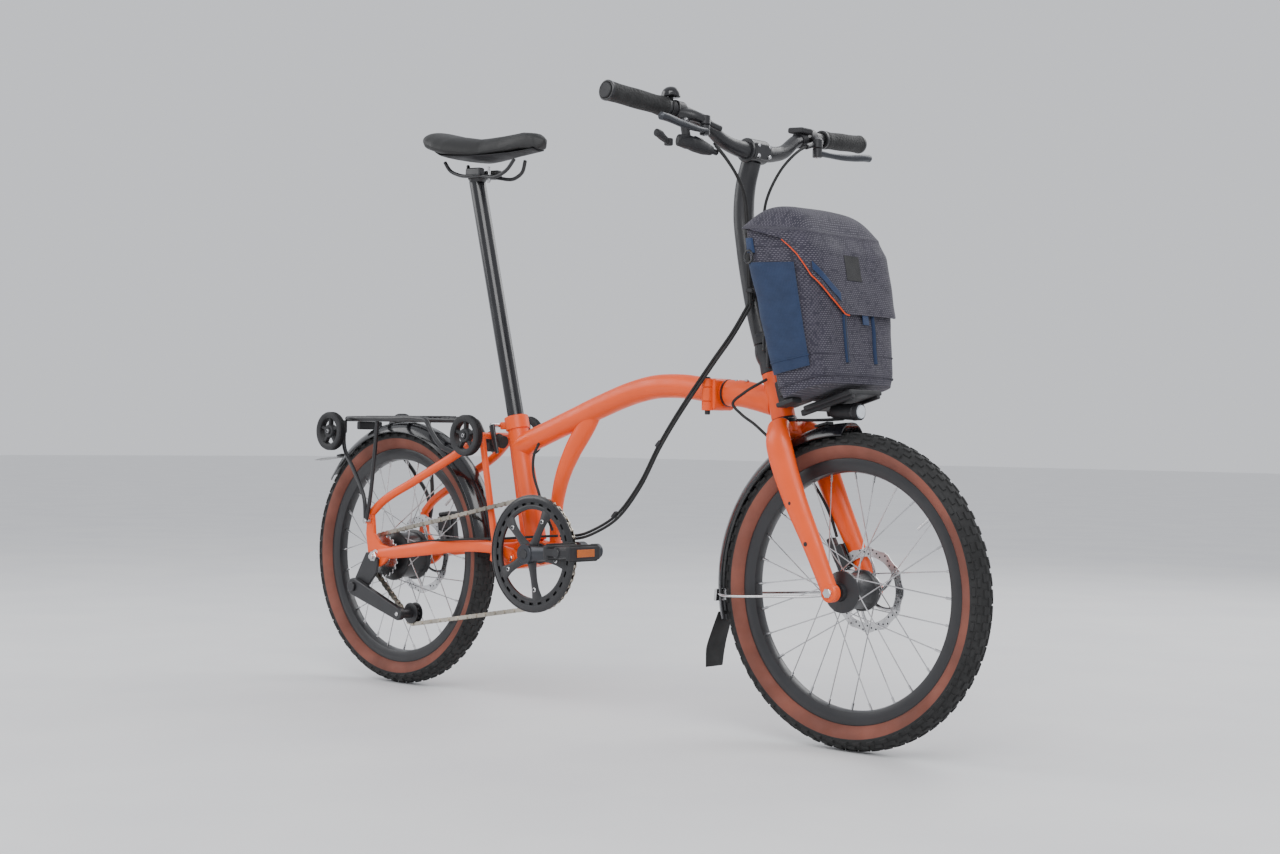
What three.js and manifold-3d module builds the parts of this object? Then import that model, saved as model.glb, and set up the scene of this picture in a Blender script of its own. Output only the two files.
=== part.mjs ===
// Folding bicycle: one named solid for each separate piece, millimetres, +X forward, +Y the rider's left, +Z up.
// Positions along the bicycle are measured from the rear axle, and heights so that both axles are at hubHeight;
// the whole group is then shifted so that the tyres stand on z = 0 and its middle is at x = 0.
import {
  Group, Mesh, MeshStandardMaterial, Vector2, Vector3, Matrix4, Shape, Path, BufferGeometry, BufferAttribute,
  CatmullRomCurve3, CylinderGeometry, BoxGeometry, LatheGeometry, ExtrudeGeometry,
} from "three";
import { mergeVertices } from "three/addons/utils/BufferGeometryUtils.js";
import Module from "manifold-3d";

const wasm = await Module();
wasm.setup();

// Driving dimensions
const wheelbase = 1084;
const tyreRadius = 251;
const tyreSection = 23;
const tyreHalfWidth = 24.5;
const rimRadius = 207.6;
const spokeCount = 20;
const hubHeight = 257;
const midX = 531.5;
const gap = 0.3;
const bottomBracket = new Vector3(418, 0, 283);
const crankLength = 170;
const ringY = -50;
const chainringRadius = 96;
const rearPivot = new Vector3(343, 0, 270);
const sprocketRadius = 38;
const jockeyCentre = new Vector3(88, ringY, 152);
const tensionerPivot = new Vector3(-46, -79, 196);
const seatTubeRadius = 19;
const seatPostRadius = 15.5;
const mainHinge = new Vector3(806, -31, 568);
const headRadius = 20;
const headSlope = 0.296;
const headBottom = 528;
const headTop = 603;
const stemHinge = new Vector3(887, 18, 650);
const barCentre = new Vector3(873, 0, 970);
const barHalfWidth = 333;
const bagTilt = 16.4;
const bagWidth = 226;
const bagCorner = new Vector3(1006, 0, 556);
const rollerRadius = 38;
const rollerY = 91;

const rad = Math.PI / 180;
const v = (x, y, z) => new Vector3(x, y, z);
const headX = (z) => 941 - headSlope * (z - 534);
const seatX = (z) => 316 + (520 - z) * 0.259;

// Closed solids and booleans

function toSolid(geometry) {
  const bare = geometry.clone();
  bare.deleteAttribute("normal");
  bare.deleteAttribute("uv");
  const merged = mergeVertices(bare, 1e-3);
  const points = new Float32Array(merged.attributes.position.array);
  const index = Array.from(merged.index.array);
  const kept = [];
  let volume = 0;
  for (let i = 0; i < index.length; i += 3) {
    const [a, b, c] = [index[i], index[i + 1], index[i + 2]];
    if (a === b || b === c || a === c) continue;
    kept.push(a, b, c);
    const [p, q, r] = [a, b, c].map((k) => v(points[3 * k], points[3 * k + 1], points[3 * k + 2]));
    volume += p.dot(q.cross(r));
  }
  if (volume < 0) {
    for (let i = 0; i < kept.length; i += 3) [kept[i], kept[i + 1]] = [kept[i + 1], kept[i]];
  }
  const mesh = new wasm.Mesh({ numProp: 3, vertProperties: points, triVerts: new Uint32Array(kept) });
  return new wasm.Manifold(mesh);
}

function toGeometry(solid) {
  const mesh = solid.getMesh();
  const geometry = new BufferGeometry();
  geometry.setAttribute("position", new BufferAttribute(new Float32Array(mesh.vertProperties), 3));
  geometry.setIndex(Array.from(mesh.triVerts));
  geometry.computeVertexNormals();
  return geometry;
}

const unite = (...solids) => solids.flat(Infinity).reduce((sum, next) => sum.add(next));
// The largest of the bodies that a cut has left
const mainBody = (solid) => solid.decompose().sort((a, b) => b.volume() - a.volume())[0];
const cut = (solid, ...tools) => tools.flat(Infinity).reduce((rest, tool) => rest.subtract(tool), solid);

// Basic shapes, each returned as a solid in place

function box(centre, size, turn = [0, 0, 0]) {
  const geometry = new BoxGeometry(size[0], size[1], size[2]);
  geometry.rotateX(turn[0] * rad);
  geometry.rotateY(turn[1] * rad);
  geometry.rotateZ(turn[2] * rad);
  geometry.translate(centre[0], centre[1], centre[2]);
  return toSolid(geometry);
}

// A cylinder, or a cone when two radii are given, between two points
function bar(from, to, radius, sides = 16, endRadius = radius) {
  const along = to.clone().sub(from);
  const geometry = new CylinderGeometry(endRadius, radius, along.length(), sides);
  const upright = Math.abs(along.x) < 1 && Math.abs(along.y) < 1;
  const turn = new Matrix4().lookAt(v(0, 0, 0), along, upright ? v(1, 0, 0) : v(0, 0, 1));
  geometry.rotateX(-Math.PI / 2);
  geometry.applyMatrix4(turn);
  geometry.translate((from.x + to.x) / 2, (from.y + to.y) / 2, (from.z + to.z) / 2);
  return toSolid(geometry);
}

const crossBar = (x, y0, y1, z, radius, sides = 20) => bar(v(x, y0, z), v(x, y1, z), radius, sides);

// A round rod of one radius along a smooth curve through the points
function rod(points, radius, sides = 8, steps = 12) {
  const section = new Shape();
  section.absarc(0, 0, radius, 0, 2 * Math.PI, false);
  const path = new CatmullRomCurve3(points, false, "centripetal");
  return toSolid(new ExtrudeGeometry(section, { steps, curveSegments: sides / 2, extrudePath: path }));
}

// A tube whose two half-widths change along the curve: shape(t) gives [across, along Y] half-widths
function taperedTube(points, shape, sides = 14, steps = 10) {
  const path = new CatmullRomCurve3(points, false, "centripetal");
  const geometry = new CylinderGeometry(1, 1, 1, sides, steps);
  const position = geometry.attributes.position;
  for (let i = 0; i < position.count; i += 1) {
    const t = Math.min(Math.max(position.getY(i) + 0.5, 0), 1);
    const tangent = path.getTangent(t);
    const side = v(0, 1, 0).addScaledVector(tangent, -tangent.y).normalize();
    const across = side.clone().cross(tangent).normalize();
    const [wide, deep] = shape(t);
    const point = path.getPoint(t);
    point.addScaledVector(across, position.getX(i) * wide).addScaledVector(side, position.getZ(i) * deep);
    position.setXYZ(i, point.x, point.y, point.z);
  }
  return toSolid(geometry);
}

// A ring about the Y axis from a closed profile of [radius, y] pairs
function turned(profile, segments = 48) {
  const points = profile.map(([radius, y]) => new Vector2(radius, y));
  const geometry = new LatheGeometry([...points, points[0]], segments);
  return toSolid(geometry);
}

// A plate cut from an outline in the X-Z plane, between two Y positions
function plate(outline, y0, y1, holes = []) {
  const shape = new Shape(outline.map(([x, z]) => new Vector2(x, z)));
  for (const hole of holes) shape.holes.push(new Path(hole.map(([x, z]) => new Vector2(x, z))));
  const geometry = new ExtrudeGeometry(shape, { depth: y1 - y0, bevelEnabled: false });
  geometry.rotateX(Math.PI / 2);
  geometry.translate(0, y1, 0);
  return toSolid(geometry);
}

function arc(cx, cz, radius, start, end, count) {
  const points = [];
  for (let i = 0; i <= count; i += 1) {
    const angle = (start + ((end - start) * i) / count) * rad;
    points.push([cx + radius * Math.cos(angle), cz + radius * Math.sin(angle)]);
  }
  return points;
}

const circle = (cx, cz, radius, count) => arc(cx, cz, radius, 0, 360 - 360 / count, count - 1);

// Finishes: colour, roughness, metalness
const finishes = {
  orange: [0xf0601e, 0.42, 0.1],
  black: [0x141416, 0.4, 0.2],
  glossBlack: [0x0c0c0e, 0.18, 0.3],
  darkGrey: [0x3c3f45, 0.42, 0.5],
  rubber: [0x1b1b1c, 0.85, 0],
  steel: [0xb4b6b8, 0.3, 1],
  chainMetal: [0x9c9484, 0.35, 0.9],
  fabric: [0x4c4758, 0.9, 0],
  plastic: [0x232427, 0.6, 0],
};

const bicycle = new Group();
bicycle.position.set(-midX, 0, tyreRadius - hubHeight);

// Vertices nearer than this to the surface through their neighbours are merged away
const surfaceTolerance = 0.14;
function part(name, finish, solid, parent = bicycle) {
  const [color, roughness, metalness] = finishes[finish];
  const material = new MeshStandardMaterial({ color, roughness, metalness });
  const mesh = new Mesh(toGeometry(solid.simplify(surfaceTolerance)), material);
  mesh.name = name;
  parent.add(mesh);
  return mesh;
}

// Main frame, rear half: seat tube, arched main tube, curved brace, bottom bracket shell

const seatPoint = (z) => v(seatX(z), 0, z);

function seatTube(grow) {
  return bar(seatPoint(303), seatPoint(529), seatTubeRadius + grow, 16);
}

const collar = unite(
  bar(seatPoint(505), seatPoint(530), seatTubeRadius + 3.5, 16),
  box([seatX(515) - 33, 0, 513], [30, 17, 15]),
);
const postBore = bar(seatPoint(235), seatPoint(540), seatPostRadius + gap, 16);
const earSlot = box([seatX(515) - 34, 0, 514], [42, 3, 40]);
const clampBolt = (radius, y) => bar(v(277, -y, 514), v(277, y, 514), radius, 10);
part("seat_tube", "orange", cut(unite(seatTube(0), collar), postBore, earSlot, clampBolt(4 + gap, 30)));

const archPoints = [v(326, 0, 474), v(360, 0, 487), v(460, 0, 523), v(539, 0, 551), v(608, 0, 572), v(660, 0, 582),
  v(720, 0, 583), v(794, 0, 574)];
const arch = taperedTube(archPoints, () => [20.5, 19.5], 12, 8);
const pinBottom = 541;
const pinTop = 594;
const midLow = 556;
const midHigh = 580;
const onHinge = (z) => v(mainHinge.x, mainHinge.y, z);
const knuckleBar = (z0, z1, radius) => bar(onHinge(z0), onHinge(z1), radius, 16);
const hingePlate = (x0, x1) => box([(x0 + x1) / 2, -4.5, 568], [x1 - x0, 53, 53]);
const rearKnuckle = cut(
  unite(hingePlate(790, 805.8), knuckleBar(pinBottom, midLow, 10), knuckleBar(midHigh, pinTop, 10)),
  knuckleBar(midLow - 0.4, midHigh + 0.4, 10.8),
);
const hingePin = knuckleBar(pinBottom - 7, pinTop + 3, 4.5);
part("main_tube_rear", "orange", cut(unite(arch, rearKnuckle, hingePin), seatTube(gap)));

const bracePoints = [v(503, 0, 524), v(462, 0, 468), v(437, 0, 420), v(426, 0, 380), v(422, 0, 340), v(421, 0, 306)];
const archClear = taperedTube(archPoints, () => [20.5 + gap, 19.5 + gap], 12, 8);
const bbShell = (grow) => crossBar(bottomBracket.x, -34, 34, bottomBracket.z, 21 + grow, 16);
const brace = taperedTube(bracePoints, (t) => [20 - 10 * Math.min(t * 1.4, 1), 14 - 3 * t], 12, 8);
part("brace_tube", "orange", cut(brace, archClear, bbShell(gap)));

const pivotShell = crossBar(rearPivot.x, -24, 24, rearPivot.z, 14, 16);
const webOutline = [[343, 262], [343, 283], [352, 303], [388, 303], [400, 296], [412, 270], [400, 263]];
const shellWeb = plate(webOutline, -22, 22);
const shellBores = [
  crossBar(bottomBracket.x, -40, 40, bottomBracket.z, 9.1, 10),
  crossBar(rearPivot.x, -40, 40, rearPivot.z, 6.4, 12),
];
const bottomBracketSolid = unite(bbShell(0), pivotShell, shellWeb);
part("bottom_bracket", "orange", cut(bottomBracketSolid, shellBores, seatTube(gap), postBore));

// Seat clamp lever

const seatLever = unite(
  clampBolt(4, 22),
  bar(v(277, -30, 514), v(277, -9.3, 514), 7, 12),
  taperedTube([v(277, -27, 514), v(285, -29, 492), v(296, -30, 462)], (t) => [6 - 2 * t, 3.5], 8, 4),
);
part("seat_clamp_lever", "black", seatLever);

// Seat post and saddle

part("seat_post", "glossBlack", bar(seatPoint(345), seatPoint(979), seatPostRadius, 16));

const railY = 22;
const railRod = (side) => rod([v(138, side * 30, 1016), v(147, side * 25, 1000), v(170, side * railY, 989),
  v(225, side * railY, 984), v(280, side * railY, 979), v(300, side * 20, 988), v(314, side * 14, 1008)], 3.5, 4, 9);
const saddleClamp = unite(
  railRod(-1),
  railRod(1),
  box([216, 0, 990], [44, 56, 14], [0, 3, 0]),
  bar(v(194, 0, 980.5), v(212, 0, 992), 15, 14),
  bar(v(198, -8, 972), v(198, -8, 1002), 4, 8),
);
part("saddle_clamp", "black", cut(saddleClamp, bar(seatPoint(940), seatPoint(979.5), seatPostRadius + gap, 16)));

// Value at t on a table of [t, value] rows, eased between rows
function along(table, t) {
  let i = 0;
  while (i < table.length - 2 && t > table[i + 1][0]) i += 1;
  const [[t0, a], [t1, b]] = [table[i], table[i + 1]];
  return a + (b - a) * Math.min(Math.max((t - t0) / (t1 - t0), 0), 1);
}

// Saddle: half-width, top height and depth from tail (t = 0) to nose (t = 1)
const saddleLength = 288;
const saddleHalf = [[0, 30], [0.04, 58], [0.12, 74], [0.22, 76], [0.35, 60], [0.5, 34], [0.7, 22], [0.92, 19], [1, 8]];
const saddleTop = [[0, 1062], [0.06, 1076], [0.25, 1063], [0.45, 1055], [0.65, 1056], [0.82, 1057],
  [0.93, 1052], [1, 1036]];
const saddleDepth = [[0, 10], [0.08, 30], [0.3, 36], [0.6, 30], [0.9, 30], [1, 12]];
function saddleSolid() {
  const geometry = new CylinderGeometry(1, 1, 1, 12, 10);
  const position = geometry.attributes.position;
  for (let i = 0; i < position.count; i += 1) {
    const t = position.getY(i) + 0.5;
    const depth = along(saddleDepth, t);
    const across = position.getX(i);
    const droop = 24 * across * across * (1 - t) * t;
    const z = along(saddleTop, t) - depth / 2 + (position.getZ(i) * depth) / 2 - droop;
    position.setXYZ(i, 93 + t * saddleLength, across * along(saddleHalf, t), z);
  }
  return toSolid(geometry);
}
part("saddle", "rubber", saddleSolid());

// Cranks, chainring and pedals

const bb = bottomBracket;
const crankRise = 14;
const rightPedal = v(bb.x + crankLength, -94, bb.z + crankRise);
const leftPedal = v(bb.x - crankLength, 94, bb.z - crankRise);
function crankArm(side, towards) {
  const outer = towards > 0 ? -80 : 100;
  const inner = towards > 0 ? 80 : -100;
  const outline = [
    ...arc(bb.x + towards * crankLength, bb.z + towards * crankRise, 12, outer, outer + 160, 6),
    ...arc(bb.x, bb.z, 18, inner, inner + 200, 8),
  ];
  return side < 0 ? plate(outline, -76, -62) : plate(outline, 62, 76);
}
const spiderArms = [0, 1, 2, 3, 4].map((k) => {
  const angle = (90 - 26 + 72 * k) * rad;
  const centre = [bb.x + 36 * Math.cos(angle), -56.8, bb.z + 36 * Math.sin(angle)];
  return box(centre, [74, 9.5, 15], [0, -(64 + 72 * k), 0]);
});
const crankset = unite(
  crossBar(bb.x, -64, 64, bb.z, 8.4, 10),
  crankArm(-1, 1),
  crankArm(1, -1),
  crossBar(bb.x, -62, -52, bb.z, 26, 16),
  crossBar(bb.x, 37, 62, bb.z, 14, 16),
  spiderArms,
  crossBar(rightPedal.x, -158, -70, rightPedal.z, 5, 10),
  crossBar(leftPedal.x, 70, 158, leftPedal.z, 5, 10),
);
part("crankset", "darkGrey", crankset);

const ringPlate = plate(circle(bb.x, bb.z, chainringRadius, 20), -51.7, -48, [circle(bb.x, bb.z, 56, 10)]);
const guardStep = plate(circle(bb.x, bb.z, 93, 16), -54, -51.6, [circle(bb.x, bb.z, 82, 16)]);
const guardDisc = plate(circle(bb.x, bb.z, 106, 24), -56.6, -53.8, [circle(bb.x, bb.z, 82, 16)]);
part("chainring", "black", unite(ringPlate, guardStep, guardDisc));

function pedal(side, centre) {
  const y = side * 127;
  const body = unite(
    box([centre.x, y, centre.z], [62, 66, 13]),
    box([centre.x - 27, y, centre.z], [12, 76, 27]),
    box([centre.x + 27, y, centre.z], [12, 76, 27]),
    crossBar(centre.x, side * 88, side * 165, centre.z, 10, 14),
  );
  const slots = [-15.5, 15.5].map((dx) => box([centre.x + dx, y, centre.z], [11, 46, 40]));
  return cut(body, crossBar(centre.x, side * 60, side * 159, centre.z, 5 + gap, 10), slots);
}
part("pedal_right", "black", pedal(-1, rightPedal));
part("pedal_left", "black", pedal(1, leftPedal));

// Rear swing arm: yoke on the pivot, both chain stays, dropouts and the rear axle

function chainStay(side) {
  const points = [v(8, side * 68, 262), v(60, side * 67, 268), v(150, side * 61, 280), v(205, side * 44, 287),
    v(262, side * 38, 289), v(318, side * 37.5, 283), v(346, side * 37.5, 271)];
  return taperedTube(points, (t) => [11 + 2 * Math.sin(Math.PI * t), 7.5 - 1.6 * Math.min(t * 1.8, 1)], 8, 7);
}
const dropoutOutline = [[-28, 340], [-30, 300], [-22, 262], [-20, 240], [0, 236], [20, 244], [34, 256], [34, 278],
  [12, 280], [-8, 300], [-12, 340]];
const dropout = (side) => plate(dropoutOutline, side < 0 ? -72 : 64, side < 0 ? -64 : 72);
const yokeOutline = [...arc(rearPivot.x, rearPivot.z, 17, -90, 90, 8), [286, 296], [286, 262], [320, 253]];
const yokePlate = (side) => plate(yokeOutline, side < 0 ? -35 : 25.5, side < 0 ? -25.5 : 35);
const rearCaliper = [
  box([66, 61.5, 309], [34, 18, 68], [0, -8, 0]),
  box([74, 38, 322], [34, 9, 30], [0, -8, 0]),
  box([76, 48, 341], [34, 29, 9], [0, -8, 0]),
];
const swingArm = unite(
  rearCaliper,
  chainStay(-1), chainStay(1), dropout(-1), dropout(1), yokePlate(-1), yokePlate(1),
  box([291, 0, 279], [12, 64, 34]),
  crossBar(rearPivot.x, -41, 41, rearPivot.z, 6, 12),
  crossBar(0, -78, 78, hubHeight, 6, 12),
  crossBar(0, -86, -71, hubHeight, 11, 12),
  crossBar(0, 71, 86, hubHeight, 11, 12),
);
part("rear_swing_arm", "orange", swingArm);

// Seat stays with the two front struts and the bridge behind the seat tube

function seatStay(side, grow) {
  const stay = rod([v(262, side * 38, 494), v(224, side * 49, 468), v(100, side * 60, 406), v(4, side * 66, 358),
    v(-18, side * 68, 346)], 8 + grow, 8, 7);
  const strut = bar(v(262, side * 38, 496), v(301, side * 38, 304), 6 + grow, 8);
  return [stay, strut];
}
const stays = unite(
  seatStay(-1, 0), seatStay(1, 0),
  crossBar(262, -66, 66, 494, 6, 10),
  [-1, 1].map((side) => [crossBar(264, side * 60, side * 89, 494, 4, 8)]),
);
const stayTrim = [-1, 1].map((side) => box([-20, side * 68, 319], [60, 20, 43.4]));
part("rear_stays", "orange", cut(stays, swingArm, stayTrim));

part("suspension_block", "rubber", cut(
  unite(bar(v(241, 0, 490), v(282, 0, 482), 12, 14), box([247, 0, 476], [15, 20, 24])),
  crossBar(262, -90, 90, 494, 6 + gap, 10), seatTube(gap),
));

// Rear mudguard: a hoop segment of curved section
function mudguard(radius, halfWidth, start, end, steps, thickness = 2.4) {
  const count = 4;
  const section = new Shape();
  for (let i = 0; i <= count; i += 1) {
    const angle = (-62 + (124 * i) / count) * rad;
    const x = halfWidth * 1.13 * Math.sin(angle);
    const y = halfWidth * 1.1 * (Math.cos(angle) - 1);
    if (i === 0) {
      section.moveTo(x, y);
    } else {
      section.lineTo(x, y);
    }
  }
  for (let i = count; i >= 0; i -= 1) {
    const angle = (-62 + (124 * i) / count) * rad;
    const x = (halfWidth * 1.13 - thickness) * Math.sin(angle);
    const y = halfWidth * 1.1 * (Math.cos(angle) - 1) - thickness;
    section.lineTo(x, y);
  }
  section.closePath();
  const geometry = new ExtrudeGeometry(section, { depth: 1, steps, bevelEnabled: false });
  const position = geometry.attributes.position;
  for (let i = 0; i < position.count; i += 1) {
    const angle = (start + (end - start) * position.getZ(i)) * rad;
    const reach = radius + position.getY(i);
    position.setXYZ(i, reach * Math.cos(angle), position.getX(i), reach * Math.sin(angle));
  }
  return toSolid(geometry);
}
const rearGuard = mudguard(262, 29, 2, 144, 12).translate(0, 0, hubHeight);
const rearFlap = box([-226, 0, 443], [92, 44, 3], [0, 4, 0]);
const guardTrim = box([270, 0, 489], [80, 90, 60]);
part("rear_mudguard", "glossBlack", cut(unite(rearGuard, rearFlap), guardTrim));

// Rear rack on the swing arm

const rackZ = 524;
const rackRail = (side) => box([13, side * 66, rackZ], [244, 10, 12]);
const rackStays = (side) => [
  rod([v(-8, side * 66, rackZ), v(-8, side * 73, 440), v(-12, side * 81, 352), v(-19, side * 82, 322)], 4, 4, 4),
  rod([v(-108, side * 66, rackZ - 4), v(-106, side * 69, 472), v(-62, side * 76, 418), v(-24, side * 82, 366),
    v(-20, side * 82, 326)], 4, 4, 5),
  bar(v(-19, side * 72.4, 325), v(-19, side * 84, 325), 6, 8),
];
const rackArm = (side) => rod([v(122, side * 66, rackZ), v(150, side * 66, 500), v(178, side * 62, 472),
  v(206, side * 52, 460)], 4.5, 6, 5);
const rackBars = [-104, -30, 50, 130].map((x) => box([x, 0, rackZ], [9, 132, 9]));
const rollerPost = (x, z, side) => [
  crossBar(x, side * 66, side * 101, z, 4, 10),
];
const stayClip = [-1, 1].map((side) => dropout(side));
const rack = unite(
  rackRail(-1), rackRail(1), rackStays(-1), rackStays(1), rackArm(-1), rackArm(1), rackBars,
  box([13, 0, rackZ + 5.5], [236, 34, 3]),
  rollerPost(-120, 499, -1), rollerPost(-120, 499, 1),
  box([-112, -66, 509], [22, 9, 26]), box([-112, 66, 509], [22, 9, 26]),
  box([-112, 0, 511], [10, 60, 18]),
);
part("rear_rack", "black", cut(rack, seatStay(-1, gap), seatStay(1, gap), stayClip));

function roller(name, x, y, z) {
  const windows = [0, 1, 2].map((k) => {
    const turn = 120 * k + 30;
    const outline = [...arc(0, 0, 27, turn - 42, turn + 42, 3), ...arc(0, 0, 12, turn + 20, turn - 20, 1)];
    return plate(outline, -20, 20);
  });
  const disc = turned([[4.4, -6], [29, -6], [rollerRadius, -8.5], [rollerRadius, 8.5], [29, 6], [4.4, 6]], 15);
  const mesh = part(name, "rubber", cut(disc, windows));
  mesh.position.set(x, y, z);
}
roller("roller_rear_right", -120, -rollerY, 499);
roller("roller_rear_left", -120, rollerY, 499);
roller("roller_front_right", 264, -79, 494);
roller("roller_front_left", 264, 79, 494);

// Chain tensioner

const bracket = cut(
  unite(plate([[-8, 262], [12, 250], [8, 226], [-34, 180], [-56, 184], [-58, 206], [-20, 262]], -78.6, -72.4),
    crossBar(tensionerPivot.x, -94, -73, tensionerPivot.z, 6, 12)),
  crossBar(0, -90, -60, hubHeight, 11 + gap, 12),
);
part("tensioner_bracket", "black", bracket);

const armAngle = Math.atan2(jockeyCentre.z - tensionerPivot.z, jockeyCentre.x - tensionerPivot.x) / rad;
const armOutline = [
  ...arc(jockeyCentre.x, jockeyCentre.z, 12, armAngle - 84, armAngle + 84, 6),
  ...arc(tensionerPivot.x, tensionerPivot.z, 17, armAngle + 90, armAngle + 270, 8),
];
part("tensioner_arm", "black", cut(
  unite(plate(armOutline, -91, -79), crossBar(jockeyCentre.x, -80, -44, jockeyCentre.z, 4, 10),
    crossBar(jockeyCentre.x, -80, -56, jockeyCentre.z, 9, 10)),
  crossBar(tensionerPivot.x, -100, -60, tensionerPivot.z, 6 + gap, 12),
));
const jockey = turned([[4.4, -5], [7, -5], [16.5, -1.6], [16.5, 1.6], [7, 5], [4.4, 5]], 16);
part("jockey_pulley", "black", jockey).position.copy(jockeyCentre);

// Chain: one closed loop round the chainring, the sprocket and the sprung pulley
function chainLoop(offset) {
  const big = 101 + offset;
  const small = 42.5 + offset;
  const pulley = 21 + offset;
  return [
    ...arc(bb.x, bb.z, big, -97, 100, 22),
    ...arc(0, hubHeight, small, 100, 244, 9),
    [jockeyCentre.x - 34 + offset * 0.2, jockeyCentre.z + 40 - offset * 0.6],
    ...arc(jockeyCentre.x, jockeyCentre.z, pulley, 178, 276, 6),
  ];
}
part("chain", "chainMetal", plate(chainLoop(3.6), ringY - 2.9, ringY + 2.9, [chainLoop(-3.6)]));

// Wheels

function wheel(name, centre, hubProfile, flangeRadius, flangeY) {
  const place = new Group();
  place.position.copy(centre);
  bicycle.add(place);
  const tyreProfile = [];
  for (let i = 0; i <= 6; i += 1) {
    const angle = (-138 + 46 * i) * rad;
    const radius = tyreRadius - tyreSection + tyreSection * Math.cos(angle);
    tyreProfile.push([radius, tyreHalfWidth * Math.sin(angle)]);
  }
  part(`${name}_tyre`, "rubber", turned(tyreProfile, 36), place);
  const rimInner = 187;
  const rimProfile = [[rimInner, -6], [191, -12], [rimRadius, -13.5], [rimRadius, 13.5], [191, 12], [rimInner, 6]];
  part(`${name}_rim`, "black", turned(rimProfile, 36), place);
  const spokes = [];
  for (let i = 0; i < spokeCount; i += 1) {
    const side = i % 2 ? 1 : -1;
    const angle = ((360 / spokeCount) * i + 4) * rad;
    const lean = angle + (i % 4 < 2 ? 24 : -24) * rad;
    const from = v(flangeRadius * Math.cos(lean), side * flangeY, flangeRadius * Math.sin(lean));
    const reach = rimInner - 0.9;
    spokes.push(bar(from, v(reach * Math.cos(angle), side * 2.5, reach * Math.sin(angle)), 1.2, 3));
  }
  part(`${name}_hub`, "black", unite(turned(hubProfile, 12), spokes), place);
  return place;
}

const rearPlace = wheel("rear", v(0, 0, hubHeight), [[6.4, -46], [16, -46], [17, -38], [49, -30], [49, -23],
  [44, -22], [44, 22], [49, 23], [49, 30], [20, 37], [20, 46], [6.4, 46]], 46, 26.5);
const frontPlace = wheel("front", v(wheelbase, 0, hubHeight), [[7.4, -42], [13, -42], [15, -34], [33, -29],
  [33, -23], [29, -22], [29, 22], [33, 23], [33, 29], [20, 32], [20, 41.2], [7.4, 41.2]], 30, 26.5);

function rotor(name, place, radius, y) {
  const band = turned([[radius - 15, -0.9], [radius, -0.9], [radius, 0.9], [radius - 15, 0.9]], 20);
  const arms = [0, 1, 2, 3, 4].map((k) => {
    const angle = 72 * k;
    const reach = radius - 12;
    const mid = (reach + 20) / 2;
    const centre = [mid * Math.cos(angle * rad), 0, mid * Math.sin(angle * rad)];
    return box(centre, [reach - 20, 1.8, 6], [0, -(angle + 14), 0]);
  });
  const carrier = turned([[8, -0.9], [26, -0.9], [26, 0.9], [8, 0.9]], 12);
  part(name, "steel", unite(band, arms, carrier), place).position.y = y;
}
rotor("rear_rotor", rearPlace, 78, 48);
rotor("front_rotor", frontPlace, 68, 42.5);

const sprocketProfile = [[7, -2.8], [20, -2.8], [sprocketRadius, -1.5], [sprocketRadius, 1.5], [20, 3.4], [7, 3.4]];
const sprocket = turned(sprocketProfile, 16);
part("sprocket", "steel", sprocket, rearPlace).position.y = ringY;

// Front half of the frame

const tubeFrontPoints = [v(813, 0, 571), v(850, 0, 570), v(890, 0, 563), v(925, 0, 555)];
const headAt = (z) => v(headX(z), 0, z);
const headTube = (grow) => bar(headAt(headBottom), headAt(headTop), headRadius + grow, 16);
const frontKnuckle = cut(
  unite(hingePlate(806.2, 821), knuckleBar(midLow, midHigh, 10)),
  knuckleBar(pinBottom - 10, midLow + 0.4, 10.8), knuckleBar(midHigh - 0.4, pinTop + 10, 10.8),
  knuckleBar(pinBottom - 10, pinTop + 10, 4.5 + gap),
);
part("main_tube_front", "orange", cut(
  unite(taperedTube(tubeFrontPoints, (t) => [22 + t, 20 - 2 * t], 12, 4), frontKnuckle), headTube(gap)));
part("head_tube", "orange", cut(headTube(0), bar(headAt(500), headAt(640), 14.7, 12)));

// Main hinge clamp on the left, with its lever
const hingeLever = unite(
  box([806, 28, 568], [22, 12, 44]),
  bar(v(806, 33, 568), v(806, 44, 568), 7, 12),
  taperedTube([v(806, 42, 568), v(830, 45, 568), v(868, 43, 566)], (t) => [7 - 2 * t, 4], 8, 4),
);
part("main_hinge_lever", "black", hingeLever);

// Bag, its frame and the carrier block on the head tube

const bagUp = v(-Math.sin(bagTilt * rad), 0, Math.cos(bagTilt * rad));
const bagOut = v(Math.cos(bagTilt * rad), 0, Math.sin(bagTilt * rad));
// A point given by its distance out from the rear face and up along it, and a block between two such points
const bagPoint = (out, up) => [
  bagCorner.x + out * bagOut.x + up * bagUp.x,
  bagCorner.z + out * bagOut.z + up * bagUp.z,
];
const bagBlock = (out0, out1, half, up0, up1) => plate(
  [bagPoint(out0, up0), bagPoint(out1, up0), bagPoint(out1, up1), bagPoint(out0, up1)], -half, half);
const bagSide = [[1006, 556], [1096, 583], [1066, 806], [1046, 830], [1010, 844], [960, 840], [928, 827]];
const frontRise = v(-30, 0, 223).normalize();
const frontOut = v(frontRise.z, 0, -frontRise.x);
function bagPlan(half, radius) {
  const shape = new Shape();
  shape.moveTo(-half, -200);
  shape.lineTo(half, -200);
  shape.lineTo(half, -radius);
  shape.absarc(half - radius, -radius, radius, 0, Math.PI / 2, false);
  shape.absarc(-half + radius, -radius, radius, Math.PI / 2, Math.PI, false);
  shape.closePath();
  const geometry = new ExtrudeGeometry(shape, { depth: 420, steps: 1, curveSegments: 5, bevelEnabled: false });
  geometry.applyMatrix4(new Matrix4().makeBasis(v(0, 1, 0), frontOut, frontRise));
  geometry.translate(1096 - 60 * frontRise.x, 0, 583 - 60 * frontRise.z);
  return toSolid(geometry);
}
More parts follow.
